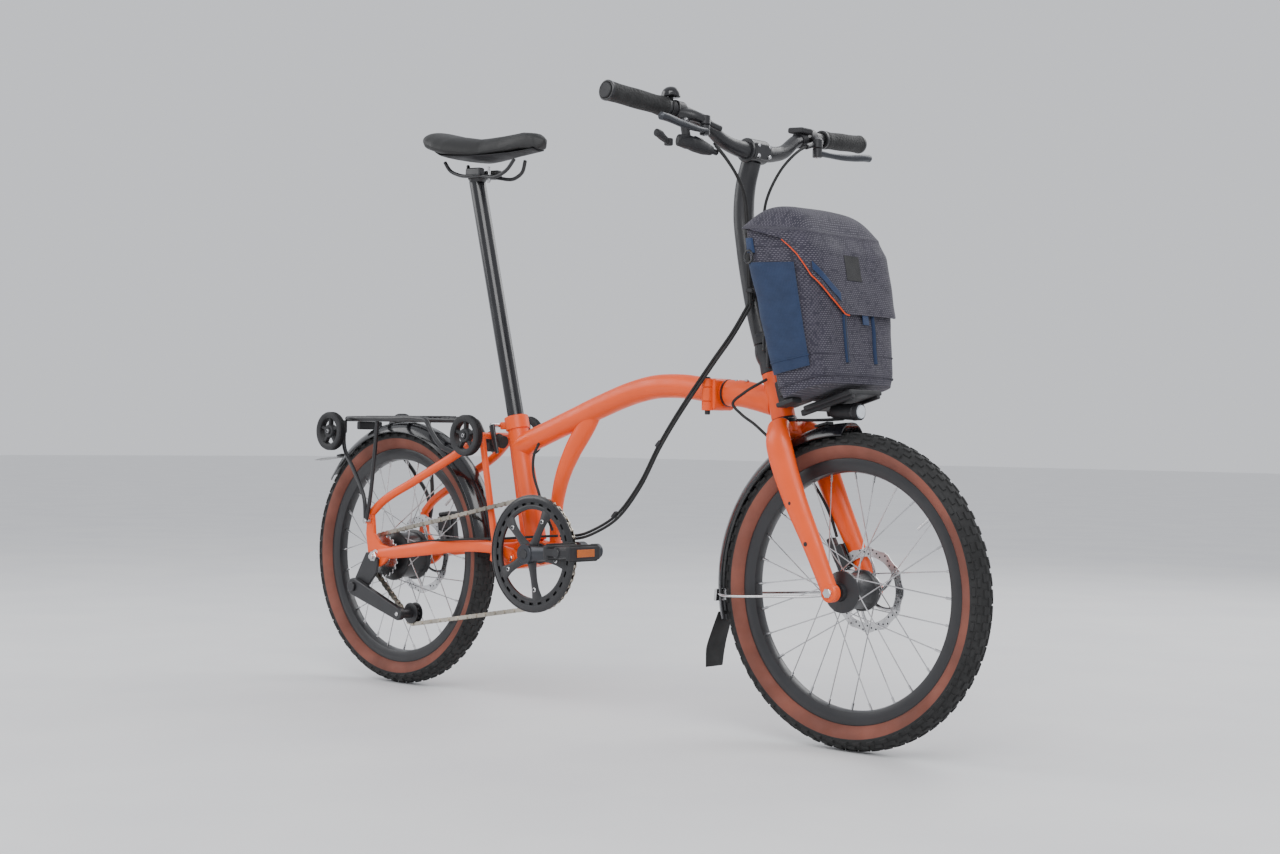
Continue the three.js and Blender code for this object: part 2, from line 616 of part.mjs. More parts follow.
const bagHalf = bagWidth / 2;
part("bag_body", "fabric", plate(bagSide, -bagHalf, bagHalf).intersect(bagPlan(bagHalf, 30)));
const flapOuter = [[928, 833.5], [958, 847], [1010, 851], [1050, 837], [1073, 810], [1088, 698]];
const flapInner = [[1083, 698], [1068, 808], [1047, 832.5], [1010, 846], [959, 842], [929, 829]];
part("bag_flap", "fabric", plate([...flapOuter, ...flapInner], -bagHalf + 8, bagHalf - 8));
part("bag_frame", "plastic", unite(
  bagBlock(-14, -1, 70, 8, 240),
  bagBlock(-14, -1, 46, -8, 12),
  bagBlock(-14, 30, 46, -8, -1.5),
));
const carrier = box([headX(572) + 31, 0, 572], [46, 44, 46], [0, -16.5, 0]);
part("carrier_block", "plastic", cut(carrier, headTube(gap), bagBlock(-14 - gap, 60, 90, -20, 260)));

// Fork with crown, steerer and axle

function blade(side, grow = 0) {
  const points = [v(954, side * 28, 512), v(968, side * 49, 497), v(985, side * 54, 458),
    v(1011, side * 56, 402), v(1046, side * 56, 334), v(1082, side * 55, 262)];
  return taperedTube(points, (t) => [24 - 9 * t + grow, 15 - 5 * t + grow], 10, 6);
}
const tyreRoom = turned([[0, -35], [268, -35], [268, 35], [0, 35]], 24).translate(wheelbase, 0, hubHeight);
const crown = unite(
  bar(v(headX(500) - 2, -38, 509), v(headX(500) - 2, 38, 509), 17, 12),
  bar(headAt(502), headAt(headBottom - 1), 20, 14),
);
const bladeEnds = [-1, 1].map((side) => crossBar(wheelbase, side * 48, side * 66, hubHeight, 14, 16));
const fork = unite(
  cut(unite(blade(-1), blade(1), crown), tyreRoom),
  bladeEnds,
  crossBar(wheelbase, -68, 68, hubHeight, 7, 12),
  bar(headAt(508), headAt(624), 14, 12),
);
part("fork", "orange", fork);

const stemBase = cut(
  unite(
    bar(headAt(headTop + 1), headAt(624), 21, 14),
    bar(headAt(618), v(905, 0, 641), 20, 14),
    bar(v(905, 0, 636), v(905, 0, 649.7), 19, 14),
  ),
  bar(headAt(590), headAt(624.4), 14 + gap, 12),
);
const hingeDirection = v(Math.SQRT1_2, Math.SQRT1_2, 0);
const onStemHinge = (s) => stemHinge.clone().addScaledVector(hingeDirection, s);
const stemPinBar = (s0, s1, radius) => bar(onStemHinge(s0), onStemHinge(s1), radius, 10);
// A block from the stem's middle to its hinge, s0 to s1 along the hinge and z0 to z1 high
function lug(s0, s1, z0, z1) {
  const centre = v((stemHinge.x + 905) / 2, stemHinge.y / 2, (z0 + z1) / 2);
  centre.addScaledVector(hingeDirection, (s0 + s1) / 2);
  return box(centre.toArray(), [s1 - s0, 25, z1 - z0], [0, 0, 45]);
}
const baseKnuckles = unite(stemPinBar(-15, -5.3, 7.5), stemPinBar(5.3, 15, 7.5), stemPinBar(-18, 18, 3.4));
const baseHinge = cut(
  unite(stemBase, lug(-15, 15, 638, 649.7), baseKnuckles),
  cut(stemPinBar(-5, 5, 8.2), stemPinBar(-6, 6, 3.4)),
);
part("stem_base", "darkGrey", baseHinge);

// Folding handlebar stem

const stemPoints = [v(903, 0, 652), v(893, 0, 680), v(876, 0, 740), v(861, 0, 809), v(853, 0, 865), v(857, 0, 918),
  v(868, 0, 953)];
const barClamp = unite(
  bar(v(867, 0, 948), v(872, 0, 966), 17, 12),
  bar(v(barCentre.x, -24, barCentre.z), v(barCentre.x, 24, barCentre.z), 20, 14),
);
const barSleeve = bar(v(barCentre.x, -30, barCentre.z), v(barCentre.x, 30, barCentre.z), 16.8, 12);
const stemPost = cut(
  unite(
    taperedTube(stemPoints, (t) => [19.5 - 3.5 * t, 19.5 - 2.5 * t], 12, 7),
    bar(v(905, 0, 650.3), v(900, 0, 668), 19.5, 14),
    lug(-5, 5, 650.3, 664), stemPinBar(-5, 5, 7.5),
    barClamp,
  ),
  stemPinBar(-6, 6, 3.4 + gap),
  stemPinBar(-16, -5, 8.2),
  stemPinBar(5, 16, 8.2),
  barSleeve,
  box([900, 0, 640.3], [120, 120, 20]).subtract(stemPinBar(-5, 5, 7.5)),
);
part("stem_post", "darkGrey", stemPost);

const clampDirection = v(Math.SQRT1_2, -Math.SQRT1_2, 0);
const clampAt = (s, z) => v(905, 0, z).addScaledVector(clampDirection, s);
const stemLever = unite(
  box([clampAt(28.5, 0).x, clampAt(28.5, 0).y, 650], [22, 9, 26], [0, 0, 45]),
  bar(clampAt(29, 650), clampAt(39, 650), 6, 12),
  taperedTube([clampAt(35, 650), clampAt(38, 640), clampAt(37, 612)], (t) => [6 - 1.5 * t, 4], 8, 5),
);
part("stem_clamp_lever", "black", stemLever);

// Handlebar and its controls

const barPath = (side) => [v(873, 0, 970), v(873, side * 40, 970), v(871, side * 78, 978), v(866, side * 118, 1001),
  v(859, side * 158, 1013), v(853, side * 205, 1018), v(850, side * 268, 1022),
  v(848.2, side * (barHalfWidth - 4), 1025.7)];
const handlebar = unite(
  taperedTube([...barPath(-1).slice(1).reverse(), ...barPath(1)], (t) => {
    const outer = Math.min(Math.abs(2 * t - 1) * 3.2, 1);
    return [15.9 - 4.9 * outer, 15.9 - 4.9 * outer];
  }, 10, 20));
part("handlebar", "black", handlebar);

// A sleeve round the straight outer part of the bar, between two distances from the middle
function sleeve(side, y0, y1, radius, sides, bore, endWall) {
  const [inner, outer] = [barPath(side)[5], barPath(side)[7]];
  const at = (y) => inner.clone().lerp(outer, (y - 205) / (barHalfWidth - 209)).setY(side * y);
  return cut(bar(at(y0), at(y1), radius, sides), bar(at(y0 - 30), at(y1 - endWall), bore, 10));
}
part("grip_right", "rubber", sleeve(-1, 196, barHalfWidth, 16, 12, 12.2, 3));
part("grip_left", "rubber", sleeve(1, 208, barHalfWidth, 16, 12, 12.2, 3));

const leverPivot = (side) => v(892, side * 148, 984);
function brakeBody(side) {
  const pivot = leverPivot(side);
  return unite(
    sleeve(side, 163, 181, 17, 12, 12.6, -30),
    taperedTube([v(866, side * 172, 1010), v(884, side * 162, 1005), v(893, side * 145, 1004)], () => [9, 11], 8, 2),
    bar(v(pivot.x, pivot.y, 992.4), v(pivot.x, pivot.y, 1004), 8, 10),
  );
}
const barClear = (side) => taperedTube(barPath(side).slice(2), () => [11.9, 11.9], 10, 8);
function brakeLever(side) {
  const pivot = leverPivot(side);
  const line = [v(pivot.x, pivot.y, 983), v(904, side * 186, 980), v(909, side * 226, 983), v(911, side * 276, 988)];
  return unite(
    bar(v(pivot.x, pivot.y, 976), v(pivot.x, pivot.y, 992), 8, 12),
    taperedTube(line, (t) => [8 - 4 * t, 4.5 + t], 8, 7),
  );
}
const rightBody = unite(
  brakeBody(-1),
  taperedTube([v(880, -200, 963), v(884, -167, 961), v(884, -124, 955)], (t) => [12.5 - 2 * t, 12], 10, 4),
  bar(v(866, -170, 1003), v(874, -170, 966), 7, 10),
);
part("brake_body_right", "black", cut(rightBody, barClear(-1), handlebar));
const leftBody = unite(
  brakeBody(1),
  box([868, 138, 1019], [26, 34, 9]),
  bar(v(866, 138, 1004), v(868, 138, 1018), 6, 8),
  box([864, 156, 1023], [14, 26, 6]),
);
part("brake_body_left", "black", cut(leftBody, barClear(1), handlebar));
part("brake_lever_right", "black", brakeLever(-1));
part("brake_lever_left", "black", brakeLever(1));
part("shift_lever", "black", unite(
  bar(v(874, -214, 953), v(874, -214, 963), 7, 10),
  taperedTube([v(876, -216, 958), v(882, -236, 962), v(890, -258, 966)], (t) => [3 + 3 * t, 6], 8, 4),
));
const bellProfile = [[0, 0], [15.5, 0], [15.5, 4], [13, 11], [7, 15.6], [0, 16.8]];
const bellOutline = bellProfile.map(([r, z]) => new Vector2(r, z));
const bellDome = toSolid(new LatheGeometry(bellOutline, 14).rotateX(Math.PI / 2));
part("bell", "black", cut(
  unite(bellDome.translate(855, -188.5, 1034.4), bar(v(855, -188.5, 1014), v(855, -188.5, 1035), 5, 8),
    crossBar(854.5, -194, -183, 1016.5, 15, 14)),
  barClear(-1), handlebar,
));

// Front mudguard with its stays and flap, light, caliper

const frontGuard = mudguard(266, 30, 90, 195, 10);
const guardStay = (side) => unite(
  rod([v(-254, side * 22, -12), v(-235, side * 40, -14), v(-120, side * 62, -8), v(-24, side * 70, -2)], 2.2, 4, 7),
  crossBar(-22, side * 67.4, side * 74, -2, 6, 10),
);
const guardFlap = plate([[-252, -62], [-266, -60], [-289, -118], [-288, -142], [-274, -146], [-264, -120]], -20, 20);
const frontMudguard = unite(frontGuard, guardStay(-1), guardStay(1), guardFlap).translate(wheelbase, 0, hubHeight);
part("front_mudguard", "glossBlack", cut(frontMudguard, fork));

const headAtCup = bar(headAt(498), headAt(headBottom + 12), 24, 20);
part("front_light", "black", unite(
  bar(v(1038, 0, 540), v(1096, 0, 540), 12, 18, 13.5),
  taperedTube([v(1064, 0, 532), v(1040, 0, 528.5), v(1000, 0, 526), v(975, 0, 527)], () => [3, 9], 8, 4),
).subtract(unite(headAtCup, tyreRoom)));

const caliper = unite(
  box([1033, 47.5, 306], [24, 6, 44], [0, -27, 0]),
  box([1033, 37, 306], [24, 8, 42], [0, -27, 0]),
  box([1019, 42, 317], [12, 17, 44], [0, -27, 0]),
);
const discRoom = turned([[0, -1.4], [69, -1.4], [69, 1.4], [0, 1.4]], 30).translate(wheelbase, 42.5, hubHeight);
part("front_caliper", "black", mainBody(cut(caliper, discRoom, blade(1, gap))));

// Cables: bundles of two joined by small clips

const upperRun = [v(886, -118, 968), v(892, -100, 950), v(894, -55, 900), v(884, -31, 845), v(884, -26, 780),
  v(890, -29, 720)];
const lowerRun = [v(890, -29, 716), v(868, -45, 668), v(828, -45, 624), v(709, -45, 480), v(667, -45, 415),
  v(609, -45, 356), v(559, -43, 332), v(518, -34, 321), v(462, -28, 316)];
const shifted = (points, dx, dy, dz) => points.map((p) => v(p.x + dx, p.y + dy, p.z + dz));
const clipAt = (p) => box([p.x + 3, p.y, p.z + 2.5], [13, 9, 11], [0, -45, 0]);
part("cables_upper", "rubber", unite(
  rod(upperRun, 2.5, 4, 9), rod(shifted(upperRun, 7, -2, 3), 2.5, 4, 9),
  box([892, -30, 735], [14, 9, 9]), box([888, -29, 830], [14, 9, 9]),
));
part("cables_main", "rubber", unite(
  rod(lowerRun, 2.5, 4, 11), rod(shifted(lowerRun, 7, 0, 5), 2.5, 4, 11),
  clipAt(lowerRun[1]), clipAt(lowerRun[4]), clipAt(lowerRun[6]),
));
const frontRun = [v(926, -30, 592), v(894, -42, 570), v(872, -45, 552), v(892, -46, 534), v(918, -46, 519)];
part("cable_front", "rubber", rod(frontRun, 2.4, 6, 9));

export default bicycle;
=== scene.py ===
import math

import bpy
import numpy as np
from mathutils import Matrix, Vector


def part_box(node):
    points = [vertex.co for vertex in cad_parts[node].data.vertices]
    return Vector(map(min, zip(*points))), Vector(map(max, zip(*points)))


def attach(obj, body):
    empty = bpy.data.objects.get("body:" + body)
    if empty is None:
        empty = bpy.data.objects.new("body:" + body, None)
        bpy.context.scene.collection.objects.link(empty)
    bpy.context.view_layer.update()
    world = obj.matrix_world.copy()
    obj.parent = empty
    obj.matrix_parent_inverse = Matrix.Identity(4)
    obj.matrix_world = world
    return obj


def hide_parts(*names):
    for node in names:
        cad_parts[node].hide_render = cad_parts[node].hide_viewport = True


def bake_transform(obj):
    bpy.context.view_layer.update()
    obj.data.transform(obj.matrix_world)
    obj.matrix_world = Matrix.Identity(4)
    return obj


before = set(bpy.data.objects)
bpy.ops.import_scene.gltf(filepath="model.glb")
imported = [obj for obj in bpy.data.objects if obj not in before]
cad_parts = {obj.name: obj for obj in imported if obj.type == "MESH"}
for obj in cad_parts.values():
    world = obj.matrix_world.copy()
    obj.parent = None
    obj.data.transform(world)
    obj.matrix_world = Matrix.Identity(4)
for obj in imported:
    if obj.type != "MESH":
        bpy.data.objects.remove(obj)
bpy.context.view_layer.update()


def middle(node):
    low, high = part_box(node)
    return np.array((low + high) / 2)


rearAxle = middle("rear_tyre")
frontAxle = middle("front_tyre")
wheelbase = 1000 * (frontAxle[0] - rearAxle[0])
hubHeight = 257  # height of both axles on the drawing's own scale, millimetres


# Drawing millimetres (from the rear axle, axles at hubHeight) to metres in the frame
def place(points):
    return np.asarray(points, float) * 0.001 + [rearAxle[0], 0, rearAxle[2] - hubHeight * 0.001]


def mirrored(points, side):
    return [(x, side * y, z) for x, y, z in points]


# Materials: each new one gets its own nodes, on Object coordinates or the piece's own cloth map

def newMaterial(name, **values):
    made = bpy.data.materials.new(name)
    made.use_nodes = True
    shader = made.node_tree.nodes["Principled BSDF"]
    for socket, value in values.items():
        shader.inputs[socket.replace("_", " ")].default_value = value
    return made, shader


def link(material, fromNode, output, toNode, socket):
    material.node_tree.links.new(fromNode.outputs[output], toNode.inputs[socket])


def addNode(material, kind, **settings):
    node = material.node_tree.nodes.new(kind)
    for name, value in settings.items():
        if name in node.inputs:
            node.inputs[name].default_value = value
        else:
            setattr(node, name, value)
    return node


# Noise on Object coordinates, read through a colour ramp: low and high are the two colours it mixes
def noiseColour(material, shader, low, high, scale, detail=4.0, start=0.35, end=0.65, socket="Base Color"):
    coords = addNode(material, "ShaderNodeTexCoord")
    noise = addNode(material, "ShaderNodeTexNoise", Scale=scale, Detail=detail)
    ramp = addNode(material, "ShaderNodeValToRGB")
    ramp.color_ramp.elements[0].position = start
    ramp.color_ramp.elements[1].position = end
    ramp.color_ramp.elements[0].color = (*low, 1)
    ramp.color_ramp.elements[1].color = (*high, 1)
    link(material, coords, "Object", noise, "Vector")
    link(material, noise, "Fac", ramp, "Fac")
    link(material, ramp, "Color", shader, socket)
    return coords, noise


def noiseBump(material, shader, scale, strength, distance=0.0004, detail=3.0):
    coords = addNode(material, "ShaderNodeTexCoord")
    noise = addNode(material, "ShaderNodeTexNoise", Scale=scale, Detail=detail)
    bump = addNode(material, "ShaderNodeBump", Strength=strength, Distance=distance)
    link(material, coords, "Object", noise, "Vector")
    link(material, noise, "Fac", bump, "Height")
    link(material, bump, "Normal", shader, "Normal")
    return bump


# A hard finish with slight cloudiness in its colour, uneven gloss and a fine grain
def hardFinish(name, colour, rough, metallic=0.0, coat=0.0, grain=900, depth=0.12, vary=0.12, roughVary=0.08):
    material, shader = newMaterial(name, Roughness=rough, Metallic=metallic, Coat_Weight=coat,
                                   Coat_Roughness=0.12)
    darker = tuple(c * (1 - vary) for c in colour)
    lighter = tuple(min(c * (1 + vary), 1) for c in colour)
    noiseColour(material, shader, darker, lighter, 14)
    noiseColour(material, shader, (max(rough - roughVary, 0.03),) * 3, (rough + roughVary,) * 3, 38,
                socket="Roughness")
    noiseBump(material, shader, grain, depth)
    return material


orangePaint = hardFinish("orangePaint", (0.88, 0.088, 0.004), 0.42, coat=0.1, grain=700, depth=0.06,
                         vary=0.05)
blackPaint = hardFinish("blackPaint", (0.014, 0.014, 0.016), 0.4, coat=0.15)
glossBlack = hardFinish("glossBlack", (0.006, 0.006, 0.008), 0.2, coat=0.35, depth=0.04)
darkMetal = hardFinish("darkMetal", (0.045, 0.048, 0.055), 0.36, metallic=0.6)
matteBlack = hardFinish("matteBlack", (0.017, 0.017, 0.019), 0.62, grain=1500, depth=0.25)
rubberBlack = hardFinish("rubberBlack", (0.016, 0.016, 0.016), 0.78, grain=2200, depth=0.35)
steel = hardFinish("steel", (0.6, 0.6, 0.61), 0.28, metallic=1.0, vary=0.08)
chainMetal = hardFinish("chainMetal", (0.42, 0.385, 0.33), 0.32, metallic=1.0, vary=0.3)
sidewallTan = hardFinish("sidewallTan", (0.19, 0.062, 0.042), 0.82, grain=1800, depth=0.4, vary=0.2)
greyPlastic = hardFinish("greyPlastic", (0.2, 0.2, 0.2), 0.35)
amberPlastic = hardFinish("amberPlastic", (0.5, 0.11, 0.004), 0.2, coat=0.3)
clearLens, lensShader = newMaterial("clearLens", Base_Color=(0.75, 0.8, 0.85, 1), Roughness=0.05,
                                    Metallic=0.2, Coat_Weight=1.0)
noiseBump(clearLens, lensShader, 260, 0.4)


# Knurled rubber for the grips: a fine diagonal net on Object coordinates
def knurledRubber():
    material, shader = newMaterial("gripRubber", Roughness=0.7, Base_Color=(0.014, 0.014, 0.015, 1))
    coords = addNode(material, "ShaderNodeTexCoord")
    net = addNode(material, "ShaderNodeTexVoronoi", Scale=230.0)
    bump = addNode(material, "ShaderNodeBump", Strength=0.8, Distance=0.0012)
    link(material, coords, "Object", net, "Vector")
    link(material, net, "Distance", bump, "Height")
    link(material, bump, "Normal", shader, "Normal")
    noiseColour(material, shader, (0.01,) * 3, (0.02,) * 3, 60)
    return material


gripRubber = knurledRubber()


# Grained saddle cover
def grainedCover():
    material, shader = newMaterial("saddleCover", Roughness=0.52)
    noiseColour(material, shader, (0.009,) * 3, (0.018,) * 3, 25)
    coords = addNode(material, "ShaderNodeTexCoord")
    cells = addNode(material, "ShaderNodeTexVoronoi", Scale=620.0)
    bump = addNode(material, "ShaderNodeBump", Strength=0.55, Distance=0.0005)
    link(material, coords, "Object", cells, "Vector")
    link(material, cells, "Distance", bump, "Height")
    link(material, bump, "Normal", shader, "Normal")
    return material


saddleCover = grainedCover()


dashForm = {"Brick Width": 0.0058, "Row Height": 0.0031, "Mortar Size": 0.00125, "Mortar Smooth": 0.2}
dashShare = 0.42  # dashes stay only where the scattering noise is above this


# Woven cloth on the piece's own UV map (metres along the cloth): crossed threads, and short pale dashes where
# dashes > 0
def wovenCloth(name, low, high, thread=900.0, dashes=0.0, dashColour=(0.2, 0.185, 0.215), sheen=0.08):
    material, shader = newMaterial(name, Roughness=0.88, Sheen_Weight=sheen, Sheen_Roughness=0.5)
    coords = addNode(material, "ShaderNodeTexCoord")
    warp = addNode(material, "ShaderNodeTexWave", Scale=thread / 6.28, Distortion=0.6, bands_direction="X")
    weft = addNode(material, "ShaderNodeTexWave", Scale=thread / 6.28, Distortion=0.6, bands_direction="Y")
    cross = addNode(material, "ShaderNodeMath", operation="MAXIMUM")
    bump = addNode(material, "ShaderNodeBump", Strength=0.5, Distance=0.0006)
    mottle = addNode(material, "ShaderNodeTexNoise", Scale=55.0, Detail=6.0)
    ramp = addNode(material, "ShaderNodeValToRGB")
    ramp.color_ramp.elements[0].color = (*low, 1)
    ramp.color_ramp.elements[1].color = (*high, 1)
    ramp.color_ramp.elements[0].position = 0.3
    ramp.color_ramp.elements[1].position = 0.7
    for node in (warp, weft, mottle):
        link(material, coords, "UV", node, "Vector")
    link(material, warp, "Fac", cross, 0)
    link(material, weft, "Fac", cross, 1)
    link(material, cross, 0, bump, "Height")
    link(material, bump, "Normal", shader, "Normal")
    link(material, mottle, "Fac", ramp, "Fac")
    if not dashes:
        link(material, ramp, "Color", shader, "Base Color")
        return material
    brick = addNode(material, "ShaderNodeTexBrick", offset=0.5, Scale=1.0)
    for socket, value in dashForm.items():
        brick.inputs[socket].default_value = value
    scatter = addNode(material, "ShaderNodeTexNoise", Scale=130.0, Detail=2.0)
    keep = addNode(material, "ShaderNodeMath", operation="GREATER_THAN")
    keep.inputs[1].default_value = dashShare
    inverse = addNode(material, "ShaderNodeMath", operation="SUBTRACT")
    inverse.inputs[0].default_value = 1.0
    both = addNode(material, "ShaderNodeMath", operation="MULTIPLY")
    some = addNode(material, "ShaderNodeMath", operation="MULTIPLY")
    some.inputs[1].default_value = dashes
    mix = addNode(material, "ShaderNodeMix", data_type="RGBA")
    mix.inputs[7].default_value = (*dashColour, 1)
    link(material, coords, "UV", brick, "Vector")
    link(material, coords, "UV", scatter, "Vector")
    link(material, scatter, "Fac", keep, 0)
    link(material, brick, "Fac", inverse, 1)
    link(material, inverse, 0, both, 0)
    link(material, keep, 0, both, 1)
    link(material, both, 0, some, 0)
    link(material, some, 0, mix, 0)
    material.node_tree.links.new(ramp.outputs["Color"], mix.inputs[6])
    material.node_tree.links.new(mix.outputs[2], shader.inputs["Base Color"])
    return material


bagCloth = wovenCloth("bagCloth", (0.024, 0.022, 0.036), (0.038, 0.034, 0.052), dashes=0.7)
navyCloth = wovenCloth("navyCloth", (0.009, 0.022, 0.062), (0.014, 0.032, 0.082))
patchCloth = wovenCloth("patchCloth", (0.012, 0.012, 0.013), (0.02, 0.02, 0.021), thread=1200)
trimCloth = wovenCloth("trimCloth", (0.75, 0.06, 0.012), (0.85, 0.1, 0.02), thread=1600)
webCloth = wovenCloth("webCloth", (0.012, 0.03, 0.085), (0.018, 0.042, 0.11), thread=1600)


# Surfaces: points on a grid, as whole arrays in drawing millimetres, made into a mesh by addPiece

def addPiece(name, vertices, faces, material, body, replaced=(), bevel=0.0, sharp=38, uv=None, slot=None):
    mesh = bpy.data.meshes.new(name)
    mesh.from_pydata(np.asarray(vertices, float).tolist(), [], [list(face) for face in faces])
    mesh.update()
    if uv is not None:
        corners = np.zeros(len(mesh.loops), np.int32)
        mesh.loops.foreach_get("vertex_index", corners)
        layer = mesh.uv_layers.new(name="cloth")
        layer.data.foreach_set("uv", np.asarray(uv, np.float32)[corners].ravel())
    mesh.polygons.foreach_set("use_smooth", np.ones(len(mesh.polygons), bool))
    mesh.set_sharp_from_angle(angle=math.radians(sharp))
    mesh.materials.append(material)
    piece = bpy.data.objects.new(name, mesh)
    bpy.context.scene.collection.objects.link(piece)
    if bevel:
        edge = piece.modifiers.new("edge", "BEVEL")
        edge.width = bevel * 0.001
        edge.segments = 2
        edge.limit_method = "ANGLE"
        edge.harden_normals = True
    if body:
        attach(piece, body)
    if replaced:
        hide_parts(*replaced)
    return piece


# Quads over a grid of rows and columns, closed round the columns, and round the rows if wanted
def gridFaces(rows, columns, closeColumns=True, closeRows=False):
    i = np.arange(rows if closeRows else rows - 1)[:, None]
    j = np.arange(columns if closeColumns else columns - 1)[None, :]
    a, b = i * columns + j, i * columns + (j + 1) % columns
    c, d = ((i + 1) % rows) * columns + (j + 1) % columns, ((i + 1) % rows) * columns + j
    return np.stack([a, b, c, d], -1).reshape(-1, 4)


# A cubic through the points: slopes from the neighbouring points, and the chord length as its clock
def smoothLine(points, count):
    p = np.asarray(points, float)
    chord = np.r_[0, np.cumsum(np.linalg.norm(np.diff(p, axis=0), axis=1))]
    slope = np.gradient(p, chord, axis=0)
    t = np.linspace(0, chord[-1], count)
    k = np.clip(np.searchsorted(chord, t, side="right") - 1, 0, len(p) - 2)
    h = (chord[k + 1] - chord[k])[:, None]
    u = (t - chord[k])[:, None] / h
    ends = (1 + 2 * u) * (1 - u) ** 2 * p[k] + u * u * (3 - 2 * u) * p[k + 1]
    return ends + u * (1 - u) ** 2 * h * slope[k] + u * u * (u - 1) * h * slope[k + 1]


def unit(vectors):
    return vectors / np.maximum(np.linalg.norm(vectors, axis=-1, keepdims=True), 1e-9)


# The centreline with its two cross directions: side follows the reference direction, across is square to it
def carriedFrame(line, reference):
    tangent = unit(np.gradient(line, axis=0))
    reference = np.asarray(reference, float)
    side = unit(reference - (tangent @ reference)[:, None] * tangent)
    return tangent, side, np.cross(side, tangent)


# A closed tube: an ellipse carried along a smooth line, its half-widths (across, along the reference) read
# from widths at equal steps, with a rounded edge at each end
def tube(name, points, widths, material, body, sides=28, steps=48, reference=(0, 1, 0), rounding=1.0, **more):
    line = smoothLine(points, steps)
    tangent, side, across = carriedFrame(line, reference)
    table = np.asarray(widths, float) if np.ndim(widths) else np.array([widths, widths], float)
    table = np.stack([table, table], -1) if table.ndim == 1 else table
    t = np.linspace(0, 1, steps)
    clock = np.linspace(0, 1, len(table))
    wide, deep = np.interp(t, clock, table[:, 0]), np.interp(t, clock, table[:, 1])
    line = np.concatenate([line[:1], line[:1] + tangent[:1] * rounding, line[1:-1],
                           line[-1:] - tangent[-1:] * rounding, line[-1:]])
    pick = np.r_[0, 0, np.arange(1, steps - 1), steps - 1, steps - 1]
    inset = np.zeros(steps + 2)
    inset[[0, -1]] = rounding
    angle = np.linspace(0, 2 * np.pi, sides, endpoint=False)
    outer = np.cos(angle)[None, :, None] * (across[pick] * (wide[pick] - inset)[:, None])[:, None, :]
    outer = outer + np.sin(angle)[None, :, None] * (side[pick] * (deep[pick] - inset)[:, None])[:, None, :]
    vertices = (line[:, None, :] + outer).reshape(-1, 3)
    rows = steps + 2
    faces = [list(face) for face in gridFaces(rows, sides)[:, ::-1]]
    faces += [list(range(sides)), list(range((rows - 1) * sides, rows * sides))[::-1]]
    return addPiece(name, place(vertices), faces, material, body, **more)


# A straight round bar between two points
def bar(name, start, end, radius, material, body, endRadius=None, **more):
    acrossRun = abs(end[1] - start[1]) > abs(end[2] - start[2]) + abs(end[0] - start[0])
    reference = (0, 0, 1) if acrossRun else (0, 1, 0)
    widths = [radius, radius if endRadius is None else endRadius]
    return tube(name, [start, end], widths, material, body, steps=4, reference=reference, **more)


# A ring or solid of revolution: a closed profile of (radius, distance along the axis) turned about an axis
def turned(name, profile, centre, material, body, axis=(0, 1, 0), segments=64, **more):
    profile = np.asarray(profile, float)
    axis = unit(np.asarray(axis, float))
    helper = np.array([0, 0, 1.0]) if abs(axis[2]) < 0.9 else np.array([1.0, 0, 0])
    u = unit(np.cross(axis, helper))
    w = np.cross(axis, u)
    angle = np.linspace(0, 2 * np.pi, segments, endpoint=False)
    around = np.cos(angle)[:, None] * u + np.sin(angle)[:, None] * w
    vertices = profile[None, :, :1] * around[:, None, :] + profile[None, :, 1:] * axis
    faces = gridFaces(segments, len(profile), closeRows=True)
    area = np.sum(profile[:, 0] * np.roll(profile[:, 1], -1) - np.roll(profile[:, 0], -1) * profile[:, 1])
    faces = faces[:, ::-1] if area > 0 else faces
    return addPiece(name, place(vertices.reshape(-1, 3) + np.asarray(centre, float)), faces, material, body,
                    **more)


boxFaces = [(0, 1, 3, 2), (4, 6, 7, 5), (0, 4, 5, 1), (2, 3, 7, 6), (0, 2, 6, 4), (1, 5, 7, 3)]


# A box with rounded edges, turned about X, Y and Z in degrees
def block(name, centre, size, material, body, turn=(0, 0, 0), bevel=1.5, **more):
    corners = np.array([(x, y, z) for x in (-1, 1) for y in (-1, 1) for z in (-1, 1)]) * np.asarray(size,
                                                                                                    float) / 2
    aboutX, aboutY, aboutZ = (Matrix.Rotation(math.radians(turn[k]), 3, "XYZ"[k]) for k in range(3))
    rotation = np.array(aboutZ @ aboutY @ aboutX)
    return addPiece(name, place(corners @ rotation.T + centre), boxFaces, material, body, bevel=bevel, **more)


# Faces of a prism: the lower rim's corners come first, then the upper rim's
def prismFaces(count):
    sides = [[k, k + count, (k + 1) % count + count, (k + 1) % count] for k in range(count)]
    return [list(range(count)), list(range(count, 2 * count))[::-1]] + sides


# A plate: an outline of (x, z) points between two Y positions, with rounded edges
def plate(name, outline, y0, y1, material, body, bevel=0.8, **more):
    flat = np.asarray(outline, float)
    area = np.sum(flat[:, 0] * np.roll(flat[:, 1], -1) - np.roll(flat[:, 0], -1) * flat[:, 1])
    flat = flat[::-1] if area < 0 else flat
    count = len(flat)
    low, high = min(y0, y1), max(y0, y1)
    vertices = np.concatenate([np.c_[flat[:, 0], np.full(count, y), flat[:, 1]] for y in (low, high)])
    return addPiece(name, place(vertices), prismFaces(count), material, body, bevel=bevel, **more)


def arc(cx, cz, radius, start, end, count=12):
    angle = np.radians(np.linspace(start, end, count))
    return list(zip(cx + radius * np.cos(angle), cz + radius * np.sin(angle)))


